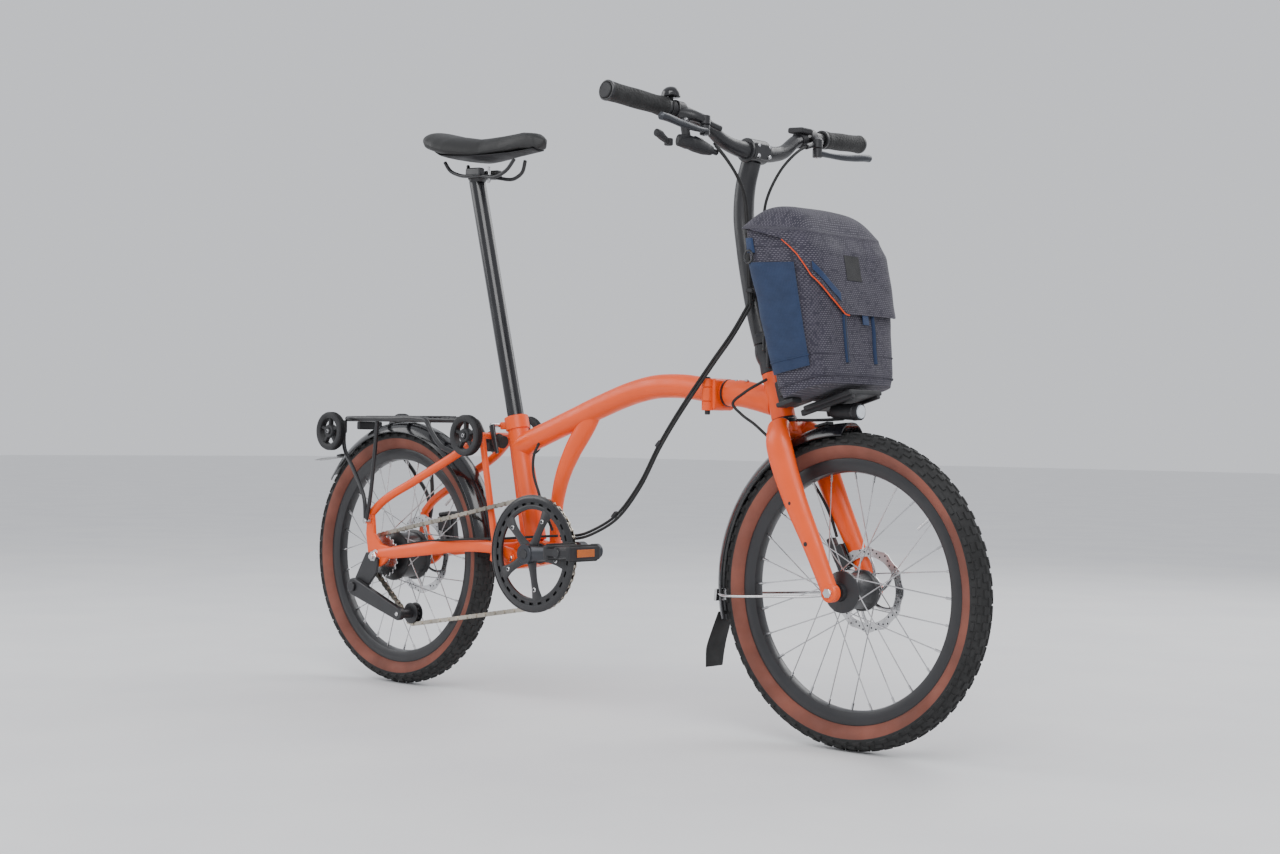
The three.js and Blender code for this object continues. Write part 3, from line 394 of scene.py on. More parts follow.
# Copies of one small closed shape (vertices in millimetres round the origin) at many places and orientations
def scattered(name, shape, faces, centres, bases, material, body, **more):
    shape, centres, bases = np.asarray(shape, float), np.asarray(centres, float), np.asarray(bases, float)
    vertices = centres[:, None, :] + np.einsum("sk,nkc->nsc", shape, bases)
    count = len(shape)
    allFaces = [[corner + n * count for corner in face] for n in range(len(centres)) for face in faces]
    return addPiece(name, place(vertices.reshape(-1, 3)), allFaces, material, body, **more)


def boxShape(x, y, z, taper=1.0):
    return [(sx * x / 2, sy * y / 2 * (taper if sx > 0 else 1), sz * z / 2 * (taper if sx > 0 else 1))
            for sx in (-1, 1) for sy in (-1, 1) for sz in (-1, 1)]


# Main frame

def seatX(z):
    return 316 + (520 - z) * 0.259


def headX(z):
    return 941 - 0.296 * (z - 534)


def seatAt(z):
    return (seatX(z), 0, z)


def headAt(z):
    return (headX(z), 0, z)


crank = {"x": 418, "z": 283, "length": 170, "rise": 14}
hinge = {"x": 806, "y": -31, "z": 568}


def makeRearFrame():
    body = "frame_rear"
    tube("seatTube", [seatAt(303), seatAt(529)], 19, orangePaint, body, steps=6, sides=40,
         replaced=["seat_tube"])
    tube("seatCollar", [seatAt(506), seatAt(530)], 22.4, orangePaint, body, steps=6, sides=40)
    block("seatCollarEars", (seatX(515) - 29, 0, 513), (20, 16, 14), orangePaint, body, bevel=2)
    arch = [(326, 0, 474), (360, 0, 487), (460, 0, 523), (539, 0, 551), (608, 0, 572), (660, 0, 582),
            (720, 0, 583), (797, 0, 574)]
    tube("mainTubeRear", arch, [(20.5, 19.5), (20.5, 19.5)], orangePaint, body, steps=90, sides=44,
         replaced=["main_tube_rear"])
    block("hingePlateRear", (797.9, -4.5, 568), (15.6, 53, 53), orangePaint, body, bevel=5)
    for low, high in ((541, 556), (580, 594)):
        bar(f"hingeKnuckleRear{low}", (hinge["x"], hinge["y"], low), (hinge["x"], hinge["y"], high), 10,
            orangePaint, body)
    bar("hingePin", (hinge["x"], hinge["y"], 534), (hinge["x"], hinge["y"], 597), 4.6, blackPaint, body)
    brace = [(512, 0, 540), (500, 0, 520), (462, 0, 468), (437, 0, 420), (426, 0, 380), (422, 0, 340),
             (421, 0, 300)]
    tube("braceTube", brace, [(19, 14), (18.5, 14), (15, 13), (11, 12), (10, 11)], orangePaint, body,
         steps=60, sides=40, replaced=["brace_tube"])
    bar("bottomShell", (crank["x"], -34, crank["z"]), (crank["x"], 34, crank["z"]), 21, orangePaint, body,
        sides=44, replaced=["bottom_bracket"])
    for side in (-1, 1):
        bar(f"bottomCup{side}", (crank["x"], side * 33, crank["z"]), (crank["x"], side * 38, crank["z"]), 18,
            blackPaint, body)
    bar("rearPivotShell", (343, -24, 270), (343, 24, 270), 14, orangePaint, body)
    web = [(343, 262), (343, 283), (352, 303), (388, 303), (400, 296), (412, 270), (400, 263)]
    plate("bottomWeb", web, -18, 18, orangePaint, body, bevel=3)
    plate("pivotGusset", arc(343, 270, 20, 120, 290, 12) + [(400, 262), (404, 300), (352, 304)], -23.5, 23.5,
          orangePaint, body, bevel=1.5)


def makeSeat():
    bar("seatClampBolt", (277, -30, 514), (277, 22, 514), 4, steel, "seat_lever",
        replaced=["seat_clamp_lever"])
    tube("seatClampLever", [(277, -27, 514), (285, -29, 492), (296, -30, 462)], [(7, 4), (6, 3.5), (4.5, 3)],
         blackPaint, "seat_lever", steps=16, sides=20)
    body = "seatpost"
    tube("seatPost", [seatAt(345), seatAt(979)], 15.5, glossBlack, body, steps=8, sides=40,
         replaced=["seat_post"])
    for side in (-1, 1):
        rail = mirrored([(138, 30, 1016), (147, 25, 1000), (170, 22, 989), (225, 22, 984), (280, 22, 979),
                         (300, 20, 988), (314, 14, 1008)], side)
        tube(f"saddleRail{side}", rail, 3.5, blackPaint, body, steps=48, sides=14)
        block(f"railClamp{side}", (216, side * 23, 991), (40, 14, 15), blackPaint, body, turn=(0, 3, 0),
              bevel=3)
    bar("clampHead", (194, 0, 976), (206, 0, 994), 17, blackPaint, body, replaced=["saddle_clamp"])
    block("clampBridge", (214, 0, 985), (32, 44, 9), blackPaint, body, turn=(0, 3, 0), bevel=2)
    for x in (198, 230):
        bar(f"clampBolt{x}", (x, 0, 972), (x, 0, 1002), 3.4, steel, body)


# Saddle: half-width, top height and depth at each t along it come from a short table. Each ring is an oval,
# flatter on top than below, and a groove runs along the middle, where the across value is near zero
saddleForm = {"tail": 93, "length": 288,
              "half": ([0, 0.02, 0.06, 0.12, 0.2, 0.28, 0.38, 0.5, 0.65, 0.85, 0.95, 1],
                       [4, 42, 62, 73, 76, 71, 54, 36, 26, 21, 17, 4]),
              "top": ([0, 0.03, 0.08, 0.25, 0.45, 0.65, 0.82, 0.93, 1],
                      [1062, 1072, 1076, 1064, 1055, 1056, 1057, 1052, 1040]),
              "depth": ([0, 0.03, 0.1, 0.3, 0.6, 0.9, 0.97, 1], [8, 24, 38, 40, 34, 32, 24, 8])}


def makeSaddle():
    rows, columns = 90, 64
    t = np.linspace(0, 1, rows)[:, None]
    angle = np.linspace(0, 2 * np.pi, columns, endpoint=False)[None, :]
    half, top, depth = (np.interp(t, *saddleForm[key]) for key in ("half", "top", "depth"))
    across = np.sign(np.cos(angle)) * np.abs(np.cos(angle)) ** 0.72
    upward = np.sign(np.sin(angle)) * np.abs(np.sin(angle)) ** np.where(np.sin(angle) > 0, 0.8, 0.55)
    fade = np.clip(1 - np.abs(t - 0.5) / 0.36, 0, 1)
    groove = 3.2 * np.exp(-(across * half / 9) ** 2) * fade * (upward > 0)
    side = 13 * across ** 2 * np.sin(np.pi * np.clip(t * 1.15, 0, 1)) ** 0.6
    z = top - depth / 2 + upward * depth / 2 - side * (0.45 + 0.55 * (upward > 0)) - groove
    x = saddleForm["tail"] + saddleForm["length"] * t + 0 * angle
    points = np.stack([x, across * half, z], -1).reshape(-1, 3)
    faces = [list(face) for face in gridFaces(rows, columns)]
    faces += [list(range(columns))[::-1], list(range((rows - 1) * columns, rows * columns))]
    addPiece("saddlePad", place(points), faces, saddleCover, "seatpost", replaced=["saddle"],
                       sharp=60)
    under = {0.06: 1039, 0.2: 1025, 0.4: 1019, 0.7: 1019, 0.94: 1022}  # height of the shell at each t
    line = [(saddleForm["tail"] + saddleForm["length"] * t, 0, z) for t, z in under.items()]
    tube("saddleShell", line, [(3, 34), (4, 62), (4, 38), (4, 20), (3, 15)], matteBlack, "seatpost", steps=40,
         sides=28)


print("frame and seat")
makeRearFrame()
makeSeat()
makeSaddle()


# Cranks, chainring, pedals, chain

ring = {"y": -50, "teeth": 52}


def makeCrank():
    body = "crank"
    x, z, length, rise = crank["x"], crank["z"], crank["length"], crank["rise"]
    for side, towards in ((-1, 1), (1, -1)):
        end = (x + towards * length, side * 69, z + towards * rise)
        line = [(x - towards * 6, side * 67, z), (x + towards * 40, side * 69, z + towards * 3), end]
        tube(f"crankArm{side}", line, [(15, 7.5), (12, 7), (11, 6.5), (12.5, 7)], darkMetal, body, steps=30,
             sides=28, rounding=2)
        bar(f"crankBoss{side}", (x, side * 58, z), (x, side * 77, z), 18, darkMetal, body, sides=40)
        bar(f"crankBolt{side}", (x, side * 76.5, z), (x, side * 78.2, z), 9, blackPaint, body)
        bar(f"pedalBoss{side}", (end[0], side * 62, end[2]), (end[0], side * 77, end[2]), 13, darkMetal, body,
            sides=32)
        bar(f"pedalAxle{side}", (end[0], side * 76, end[2]), (end[0], side * 158, end[2]), 5, steel, body,
            sides=20)
    bar("crankAxle", (x, -60, z), (x, 60, z), 8.4, steel, body, replaced=["crankset"])
    for k in range(5):
        angle = math.radians(64 + 72 * k)
        inner, bolt, reach = ((x + r * math.cos(angle), z + r * math.sin(angle)) for r in (10, 65, 84))
        line = [(inner[0], -58, inner[1]), (bolt[0], -56.5, bolt[1]), (reach[0], -54, reach[1])]
        widths = [(13, 4.5), (9, 4), (7.5, 3.6), (9, 3.2), (14, 2.6)]
        tube(f"spiderArm{k}", line, widths, blackPaint, body, steps=20, sides=24)
        bar(f"ringBolt{k}", (bolt[0], -61.5, bolt[1]), (bolt[0], -50, bolt[1]), 4.2, steel, body, sides=20)
        # Matte black hexagon on each bolt head: painted shade standing in for the socket recess
        bar(f"ringBoltSocketShade{k}", (bolt[0], -61.9, bolt[1]), (bolt[0], -61.2, bolt[1]), 2.3, matteBlack, body,
            sides=6)


# Toothed disc: the outline's radius rises and falls once per tooth, round a plain bore
def toothedRing(name, centre, teeth, radius, bore, y0, y1, material, body, height=4.0, **more):
    count = teeth * 8
    angle = np.linspace(0, 2 * np.pi, count, endpoint=False)
    wave = np.clip(np.cos(angle * teeth) * 1.5, -1, 1)
    outer = radius - height / 2 + height / 2 * wave
    circles = [(outer, y0), (outer, y1), (np.full(count, bore), y1), (np.full(count, bore), y0)]
    vertices = np.stack([np.stack([centre[0] + r * np.cos(angle), np.full(count, y),
                                   centre[2] + r * np.sin(angle)], -1) for r, y in circles], 1).reshape(-1, 3)
    faces = gridFaces(count, 4, closeRows=True)
    faces = faces if y1 < y0 else faces[:, ::-1]
    return addPiece(name, place(vertices), faces, material, body, **more)


def makeChainring():
    centre = (crank["x"], ring["y"], crank["z"])
    toothedRing("chainring", centre, ring["teeth"], 101, 83, -51.4, -48.6, blackPaint, "crank",
                replaced=["chainring"])
    guard = [(92.5, -56.4), (104, -56.6), (106, -55.4), (106, -54.6), (104, -53.6), (92.5, -53.8)]
    turned("chainGuard", guard, (centre[0], 0, centre[2]), glossBlack, "crank", segments=96)
    turned("guardEdge", [(103.4, -57.0), (105.6, -56.4), (105.6, -55.8), (103.4, -55.8)],
           (centre[0], 0, centre[2]), blackPaint, "crank", segments=96)
    band = [(80, -55.6), (81.5, -56.2), (86.5, -56.2), (88, -55.6), (88, -51.2), (80, -51.2)]
    turned("ringBand", band, (centre[0], 0, centre[2]), blackPaint, "crank", segments=96)
    angle = 2 * np.pi * np.arange(ring["teeth"] // 2) / (ring["teeth"] // 2)
    reach = 90.3
    middles = np.stack([centre[0] + reach * np.cos(angle), np.full(len(angle), -54.6),
                        centre[2] + reach * np.sin(angle)], -1)
    bases = np.stack([np.stack([np.cos(angle), 0 * angle, np.sin(angle)], -1),
                      np.tile([0, 1.0, 0], (len(angle), 1)),
                      np.stack([-np.sin(angle), 0 * angle, np.cos(angle)], -1)], 1)
    scattered("guardBridges", boxShape(6.4, 2.4, 11), boxFaces, middles, bases, blackPaint, "crank", sharp=30)


def makePedal(side, name):
    sign = -side
    x, z = crank["x"] + sign * crank["length"], crank["z"] + sign * crank["rise"]
    y = side * 127
    bar(f"{name}Barrel", (x, side * 88, z), (x, side * 164, z), 10.5, matteBlack, name, sides=28,
        replaced=[name])
    for dx in (-27, 27):
        block(f"{name}Cage{dx}", (x + dx, y, z), (12, 76, 25), matteBlack, name, bevel=4)
        block(f"{name}Tread{dx}", (x + dx, y, z), (7, 66, 29), rubberBlack, name, bevel=2)
        block(f"{name}Reflector{dx}", (x + dx * 1.245, y, z), (1.5, 42, 13), amberPlastic, name, bevel=0.6)
    for dy in (-35, -12, 12, 35):
        block(f"{name}Bridge{dy}", (x, y + dy, z), (54, 5, 12), matteBlack, name, bevel=1.5)
    bar(f"{name}Cap", (x, side * 163, z), (x, side * 167, z), 8, blackPaint, name)


# Chain route: round the chainring, back to the sprocket, under it and round the sprung pulley
jockey = {"x": 88, "z": 152}
chainPitch = 12.7


def chainLine():
    loop = arc(crank["x"], crank["z"], 101, -97, 100, 60) + arc(0, hubHeight, 42.5, 100, 244, 24)
    loop += arc(jockey["x"], jockey["z"], 21, 190, 276, 14)
    loop = np.array(loop + loop[:1])
    length = np.r_[0, np.cumsum(np.linalg.norm(np.diff(loop, axis=0), axis=1))]
    links = 2 * round(length[-1] / (2 * chainPitch))
    steps = np.linspace(0, length[-1], links, endpoint=False)

    def at(distance):
        return np.stack([np.interp(distance % length[-1], length, loop[:, k]) for k in (0, 1)], -1)

    return at(steps), at(steps + length[-1] / links)


def makeChain():
    start, end = chainLine()
    middlePoint = (start + end) / 2
    along = unit(end - start)
    count = len(start)
    ends = []
    for cx, first in ((-chainPitch / 2, 90), (chainPitch / 2, -90)):
        ends += [(cx + 4.1 * math.cos(math.radians(first + a)), 4.1 * math.sin(math.radians(first + a)))
                 for a in (0, 45, 90, 135, 180)]
    outline = ends[:5] + [(0, -2.9)] + ends[5:] + [(0, 2.9)]
    shape = [(x, y, z) for y in (-0.55, 0.55) for x, z in outline]
    faces = prismFaces(len(outline))
    centres, bases = [], []
    for y in (-1, 1):
        offset = np.where(np.arange(count) % 2 == 0, 3.4, 2.15) * y + ring["y"]
        centres.append(np.stack([middlePoint[:, 0], offset, middlePoint[:, 1]], -1))
        bases.append(np.stack([np.stack([along[:, 0], 0 * along[:, 0], along[:, 1]], -1),
                               np.tile([0, 1.0, 0], (count, 1)),
                               np.stack([-along[:, 1], 0 * along[:, 0], along[:, 0]], -1)], 1))
    ride = dict(replaced=["chain"], sharp=30)
    plates = scattered("chainPlates", shape, faces, np.concatenate(centres), np.concatenate(bases),
                       chainMetal, None, **ride)
    angle = np.radians(np.arange(0, 360, 45))
    roller = [(3.6 * np.cos(a), y, 3.6 * np.sin(a)) for y in (-2.6, 2.6) for a in angle]
    rollerFaces = prismFaces(len(angle))
    pins = np.stack([start[:, 0], np.full(count, float(ring["y"])), start[:, 1]], -1)
    rollers = scattered("chainRollers", roller, rollerFaces, pins, np.tile(np.eye(3), (count, 1, 1)),
                        chainMetal, None)
    for piece in (plates, rollers):
        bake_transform(piece)


print("drive")
makeCrank()
makeChainring()
makePedal(-1, "pedal_right")
makePedal(1, "pedal_left")
makeChain()


# Wheels

wheelForm = {"tyreRadius": 251, "spokes": 28, "spokeEnd": 188, "spokeTurn": 52, "valveAngle": 0.7}


# Each row of knobs: place across the tyre, knobs round it, radius, turn in knobs, lean in degrees
treadRows = [(0, 64, 248.2, 0.0, 0), (-8.6, 64, 247.0, 0.5, 14), (8.6, 64, 247.0, 0.5, 14),
             (-16.8, 58, 242.6, 0.1, 36), (16.8, 58, 242.6, 0.1, 36),
             (-22.2, 58, 236.2, 0.6, 62), (22.2, 58, 236.2, 0.6, 62)]


# Knobs in rows round the tread: each is a small tapered block standing out along the radius
def treadKnobs(name, centre, body):
    centres, bases = [], []
    for y, count, radius, turn, leanDegrees in treadRows:
        angle = 2 * np.pi * (np.arange(count) + turn) / count
        lean = math.radians(leanDegrees) * np.sign(y)
        radial = np.stack([np.cos(angle), 0 * angle, np.sin(angle)], -1)
        tangent = np.stack([-np.sin(angle), 0 * angle, np.cos(angle)], -1)
        out = radial * math.cos(lean) + np.array([0, 1.0, 0]) * math.sin(lean)
        centres.append(np.asarray(centre) + radial * radius + np.array([0, y, 0]))
        bases.append(np.stack([out, np.cross(tangent, out), tangent], 1))
    shape = boxShape(4.6, 6.0, 15.0, taper=0.8)
    scattered(name, shape, boxFaces, np.concatenate(centres), np.concatenate(bases), rubberBlack, body,
              sharp=30)


def makeWheel(name, centre, hubProfile, flange, rotorRadius, rotorY):
    body = f"{name}_wheel"
    tyreCentre = wheelForm["tyreRadius"] - 23.6
    angle = np.radians(np.linspace(-150, 150, 41))
    section = np.stack([tyreCentre + 21.4 * np.cos(angle), 23.2 * np.sin(angle)], -1)
    tread = section[np.abs(np.degrees(angle)) < 84]
    underside = np.stack([tread[::-1, 0] - 2.5, tread[::-1, 1] * 0.95], -1)
    turned(f"{name}Tread", np.concatenate([tread, underside]), centre, rubberBlack, body, segments=120)
    turned(f"{name}Sidewall", np.stack([tyreCentre + 20.9 * np.cos(angle), 22.9 * np.sin(angle)], -1), centre,
           sidewallTan, body, segments=120, replaced=[f"{name}_tyre"])
    for side in (-1, 1):
        line = [(211, side * 13.2), (214.5, side * 17.6), (216, side * 16.8), (212.5, side * 12.4)]
        turned(f"{name}Bead{side}", line, centre, rubberBlack, body, segments=96)
    treadKnobs(f"{name}Knobs", centre, body)
    rim = [(187, -5), (189, -10), (196, -12.6), (207.5, -13.2), (209.4, -12.4), (209.4, -11.2), (205, -10.6),
           (203, 0), (205, 10.6), (209.4, 11.2), (209.4, 12.4), (207.5, 13.2), (196, 12.6), (189, 10),
           (187, 5)]
    turned(f"{name}Rim", rim, centre, blackPaint, body, segments=120, replaced=[f"{name}_rim"])
    turned(f"{name}Hub", hubProfile, centre, blackPaint, body, segments=56, replaced=[f"{name}_hub"])
    spokes(name, centre, flange, body)
    rotor(f"{name}Rotor", centre, rotorRadius, rotorY, body, f"{name}_rotor")
    inner, outer = ((centre[0] + reach * math.cos(wheelForm["valveAngle"]), 0,
                     centre[2] + reach * math.sin(wheelForm["valveAngle"])) for reach in (158, 190))
    bar(f"{name}Valve", inner, outer, 2.6, steel, body, sides=12)


# Spokes: a six-sided rod from each flange hole to its rim hole, and a nipple where it meets the rim
def spokes(name, centre, flange, body):
    count = wheelForm["spokes"]
    k = np.arange(count)
    side = np.where(k % 2, 1.0, -1.0)
    rimAngle = 2 * np.pi * k / count
    hubAngle = rimAngle + np.radians(np.where(k % 4 < 2, 1, -1) * wheelForm["spokeTurn"])
    start = np.stack([flange[0] * np.cos(hubAngle), side * flange[1], flange[0] * np.sin(hubAngle)], -1)
    reach = wheelForm["spokeEnd"]
    end = np.stack([reach * np.cos(rimAngle), side * 2.5, reach * np.sin(rimAngle)], -1)
    along = unit(end - start)
    across = unit(np.cross(along, [0, 1.0, 0]))
    third = np.cross(along, across)
    length = np.linalg.norm(end - start, axis=1)
    ringAngle = np.radians(np.arange(0, 360, 60))
    for label, radius, low in (("Spokes", 1.05, 0.0), ("Nipples", 2.2, 0.93)):
        shape = [(t, radius * math.cos(a), radius * math.sin(a)) for t in (low, 1.0) for a in ringAngle]
        faces = [list(range(6))[::-1], list(range(6, 12))] + [[n, (n + 1) % 6, (n + 1) % 6 + 6, n + 6]
                                                              for n in range(6)]
        bases = np.stack([along * length[:, None], across, third], 1)
        scattered(f"{name}{label}", shape, faces, start + np.asarray(centre), bases, steel, body)


# Brake disc: a slotted band, curved arms and a hub ring
def rotor(name, centre, radius, y, body, node):
    at = (centre[0], y, centre[2])
    toothedRing(name, (at[0], 0, at[2]), 12, radius, radius - 15, y - 0.9, y + 0.9, steel, body, height=2.4,
                replaced=[node])
    turned(f"{name}Carrier", [(9, -1.1), (26, -1.1), (26, 1.1), (9, 1.1)], at, steel, body, segments=48)
    for k in range(6):
        angle = np.radians(60 * k + np.linspace(0, 34, 8))
        reach = np.linspace(22, radius - 9, 8)
        line = np.stack([at[0] + reach * np.cos(angle), np.full(8, y), at[2] + reach * np.sin(angle)], -1)
        tube(f"{name}Arm{k}", line, [(3.2, 0.85), (2.6, 0.85), (3.4, 0.85)], steel, body, steps=14, sides=12,
             rounding=0.2)
    holes = [(at[0] + (radius - 7.5 + dr) * math.cos(a), y, at[2] + (radius - 7.5 + dr) * math.sin(a))
             for a, dr in zip(np.linspace(0, 2 * np.pi, 48, endpoint=False), [-3.4, 0, 3.4] * 16)]
    ringAngle = np.radians(np.arange(0, 360, 45))
    disc = [(1.6 * math.cos(a), d, 1.6 * math.sin(a)) for d in (-1.0, 1.0) for a in ringAngle]
    scattered(f"{name}Holes", disc, prismFaces(len(ringAngle)), holes, np.tile(np.eye(3), (48, 1, 1)),
              matteBlack, body)


def makeWheels():
    rearHub = [(6.4, -46), (15, -46), (17, -38), (44, -31), (48, -30), (49, -28), (49, -25), (46, -23.5),
               (44, -22), (44, 22), (46, 23.5), (49, 25), (49, 28), (48, 30), (44, 31), (22, 37), (20, 46),
               (6.4, 46)]
    frontHub = [(7.4, -42), (13, -42), (15, -34), (31, -30), (33, -29), (33, -24.5), (30, -23), (28.5, -21),
                (28.5, 21), (30, 23), (33, 24.5), (33, 29), (31, 30), (20, 33), (18, 41), (7.4, 41)]
    makeWheel("rear", (0, 0, hubHeight), rearHub, (46, 27), 78, 48)
    makeWheel("front", (wheelbase, 0, hubHeight), frontHub, (30, 27), 68, 42.5)
    turned("rearHubCap", [(6.4, -44), (19, -44), (22, -40), (22, -35), (6.4, -35)], (0, 0, hubHeight), steel,
           "rear_wheel")
    toothedRing("sprocket", (0, 0, hubHeight), 21, 41, 7, -51.4, -48.8, steel, "sprocket",
                replaced=["sprocket"])
    turned("sprocketBoss", [(7, -52.6), (19, -52.6), (20, -50), (20, -47), (7, -47)], (0, 0, hubHeight),
           steel, "sprocket")


print("wheels")
makeWheels()


# Rear frame: swing arm, stays, mudguard, rack, tensioner

rearPivot = {"x": 343, "z": 270}
frontRoller = {"x": 264, "z": 494}


def makeSwingArm():
    body = "rear_frame"
    for side in (-1, 1):
        stay = mirrored([(8, 68, 262), (60, 67, 268), (150, 61, 280), (205, 44, 287), (262, 38, 289),
                         (318, 37.5, 283), (346, 37.5, 271)], side)
        tube(f"chainStay{side}", stay, [(11, 7.5), (12.5, 6), (13, 6), (12, 6), (11, 6)], orangePaint, body,
             steps=60, replaced=["rear_swing_arm"] if side > 0 else ())
        outline = [(-28, 340), (-31, 300), (-24, 262), (-21, 242), (-8, 235), (10, 237), (24, 245), (36, 256),
                   (36, 277), (14, 281), (-6, 300), (-11, 340)]
        plate(f"dropout{side}", outline, side * 64, side * 72, orangePaint, body, bevel=2)
        x, z = rearPivot["x"], rearPivot["z"]
        yoke = arc(x, z, 17, -90, 90, 14) + [(286, 297), (284, 262), (320, 253)]
        plate(f"pivotYoke{side}", yoke, side * 25.5, side * 35, orangePaint, body, bevel=2.5)
        bar(f"pivotCap{side}", (x, side * 34, z), (x, side * 39, z), 11, orangePaint, body)
        bar(f"pivotBolt{side}", (x, side * 38, z), (x, side * 40.5, z), 6.5, steel, body)
        bar(f"axleNut{side}", (0, side * 71, hubHeight), (0, side * 81, hubHeight), 10.5, steel, body,
            sides=6, sharp=20)
        bar(f"axleEnd{side}", (0, side * 80, hubHeight), (0, side * 86, hubHeight), 6, steel, body)
        bar(f"axleWasher{side}", (0, side * 71.5, hubHeight), (0, side * 73.5, hubHeight), 13, steel, body)
    block("yokeBridge", (291, 0, 279), (12, 62, 32), orangePaint, body, bevel=3)
    block("rearCaliper", (66, 61.5, 309), (32, 17, 66), blackPaint, body, turn=(0, -8, 0), bevel=4)
    block("rearCaliperInner", (75, 38, 322), (32, 9, 28), blackPaint, body, turn=(0, -8, 0), bevel=3)
    block("rearCaliperBridge", (76, 48, 340), (32, 28, 8), blackPaint, body, turn=(0, -8, 0), bevel=3)
    for dz in (-20, 20):
        bar(f"caliperBolt{dz}", (66, 69, 309 + dz), (66, 73, 309 + dz), 4.5, steel, body)


def makeStays():
    body = "rear_frame"
    for side in (-1, 1):
        stay = mirrored([(262, 38, 494), (224, 49, 468), (100, 60, 406), (4, 66, 358), (-18, 68, 340)], side)
        tube(f"seatStay{side}", stay, 8, orangePaint, body, steps=56, replaced=["rear_stays"] if side > 0
             else ())
        bar(f"seatStrut{side}", (262, side * 38, 496), (303, side * 38, 292), 6.2, orangePaint, body)
    bar("stayBridge", (262, -66, 494), (262, 66, 494), 6.2, orangePaint, body)
    for side in (-1, 1):
        bar(f"frontRollerPin{side}", (frontRoller["x"], side * 62, frontRoller["z"]),
            (frontRoller["x"], side * 89, frontRoller["z"]), 4, steel, body)
    bar("suspensionRubber", (240, 0, 490.3), (282, 0, 482), 12, rubberBlack, body,
        replaced=["suspension_block"])
    for k in range(4):
        at = 243 + 7.5 * k
        turned(f"suspensionRing{k}", [(10, -2), (13.4, 0), (10, 2)], (at, 0, 490.3 - (at - 240) * 0.198),
               rubberBlack, body, axis=(0.98, 0, -0.2), segments=32)
    block("suspensionFoot", (247, 0, 476), (15, 20, 24), matteBlack, body, bevel=3)


# A mudguard: an arched strip carried round the wheel; across it the surface drops by the arch, and the rim
# edges roll in
def mudguard(name, centre, radius, halfWidth, start, end, body, **more):
    rows, columns = 90, 25
    angle = np.radians(np.linspace(start, end, rows))[:, None]
    lean = np.radians(np.linspace(-66, 66, columns))[None, :]
    y = halfWidth * 1.09 * np.sin(lean) + 0 * angle
    r = radius - halfWidth * 1.1 * (1 - np.cos(lean)) + 0 * angle
    ribs = 0.7 * np.exp(-((np.abs(y) - 11) / 2.2) ** 2)
    outer = np.stack([centre[0] + (r + ribs) * np.cos(angle), y, centre[2] + (r + ribs) * np.sin(angle)], -1)
    inner = np.stack([centre[0] + (r - 1.6) * np.cos(angle), y * 0.97, centre[2] + (r - 1.6) * np.sin(angle)],
                     -1)
    loop = np.concatenate([outer, inner[:, ::-1]], 1)
    count = loop.shape[1]
    faces = [list(face) for face in gridFaces(rows, count)]
    faces += [[j, j + 1, count - 2 - j, count - 1 - j] for j in range(columns - 1)]
    last = (rows - 1) * count
    faces += [[last + j + 1, last + j, last + count - 1 - j, last + count - 2 - j]
              for j in range(columns - 1)]
    return addPiece(name, place(loop.reshape(-1, 3)), faces, glossBlack, body, **more)


def makeRearGuard():
    body = "rear_frame"
    mudguard("rearMudguard", (0, 0, hubHeight), 262, 29, 6, 144, body, replaced=["rear_mudguard"])
    tab = [(-270, 0, 439), (-240, 0, 443), (-205, 0, 446), (-184, 0, 447)]
    tube("rearFlap", tab, [(1.2, 16), (1.3, 21), (1.3, 22), (1.3, 22)], greyPlastic, body, steps=24, sides=24,
         rounding=0.4)
    block("flapClip", (-193, 0, 449), (16, 26, 7), matteBlack, body, turn=(0, -10, 0), bevel=1.5)


rack = {"z": 524, "y": 66, "front": 135, "rear": -109}


def makeRack():
    body = "rear_frame"
    z, y = rack["z"], rack["y"]
    for side in (-1, 1):
        rail = mirrored([(rack["rear"] + 2, y - 6, z), (rack["rear"] + 18, y, z), (20, y, z), (112, y, z),
                         (135, y, z - 3), (152, y, z - 24), (178, y - 4, z - 52), (206, y - 14, z - 64)],
                        side)
        tube(f"rackRail{side}", rail, [(5.5, 5), (5.5, 5), (5.5, 5), (4.6, 4.6), (4.5, 4.5)], blackPaint,
             body, steps=70, sides=20, replaced=["rear_rack"] if side > 0 else ())
        upright = mirrored([(-8, 66, z), (-8, 73, 440), (-12, 81, 352), (-19, 82, 322)], side)
        tube(f"rackUpright{side}", upright, 4, blackPaint, body, steps=30, sides=16)
        brace = mirrored([(-108, 66, z - 4), (-106, 69, 472), (-62, 76, 418), (-24, 82, 366), (-20, 82, 326)],
                         side)
        tube(f"rackBrace{side}", brace, 4, blackPaint, body, steps=44, sides=16)
        bar(f"rackBolt{side}", (-19, side * 72, 325), (-19, side * 87, 325), 5, steel, body)
        block(f"rollerPlate{side}", (-114, side * 66, 508), (20, 8, 26), blackPaint, body, bevel=3)
        bar(f"rearRollerPin{side}", (-120, side * 66, 499), (-120, side * 101, 499), 4, steel, body)
    for x in (-104, -45, 20, 85, 130):
        bar(f"rackBar{x}", (x, -66, z + (0 if x < 125 else -2)), (x, 66, z + (0 if x < 125 else -2)), 4.5,
            blackPaint, body, sides=18)
    for dy in (-12, 0, 12):
        block(f"rackSlat{dy}", (13, dy, z + 5.5), (236, 7, 3), blackPaint, body, bevel=1)
    block("guardHanger", (-112, 0, 511), (10, 58, 16), matteBlack, body, bevel=2)


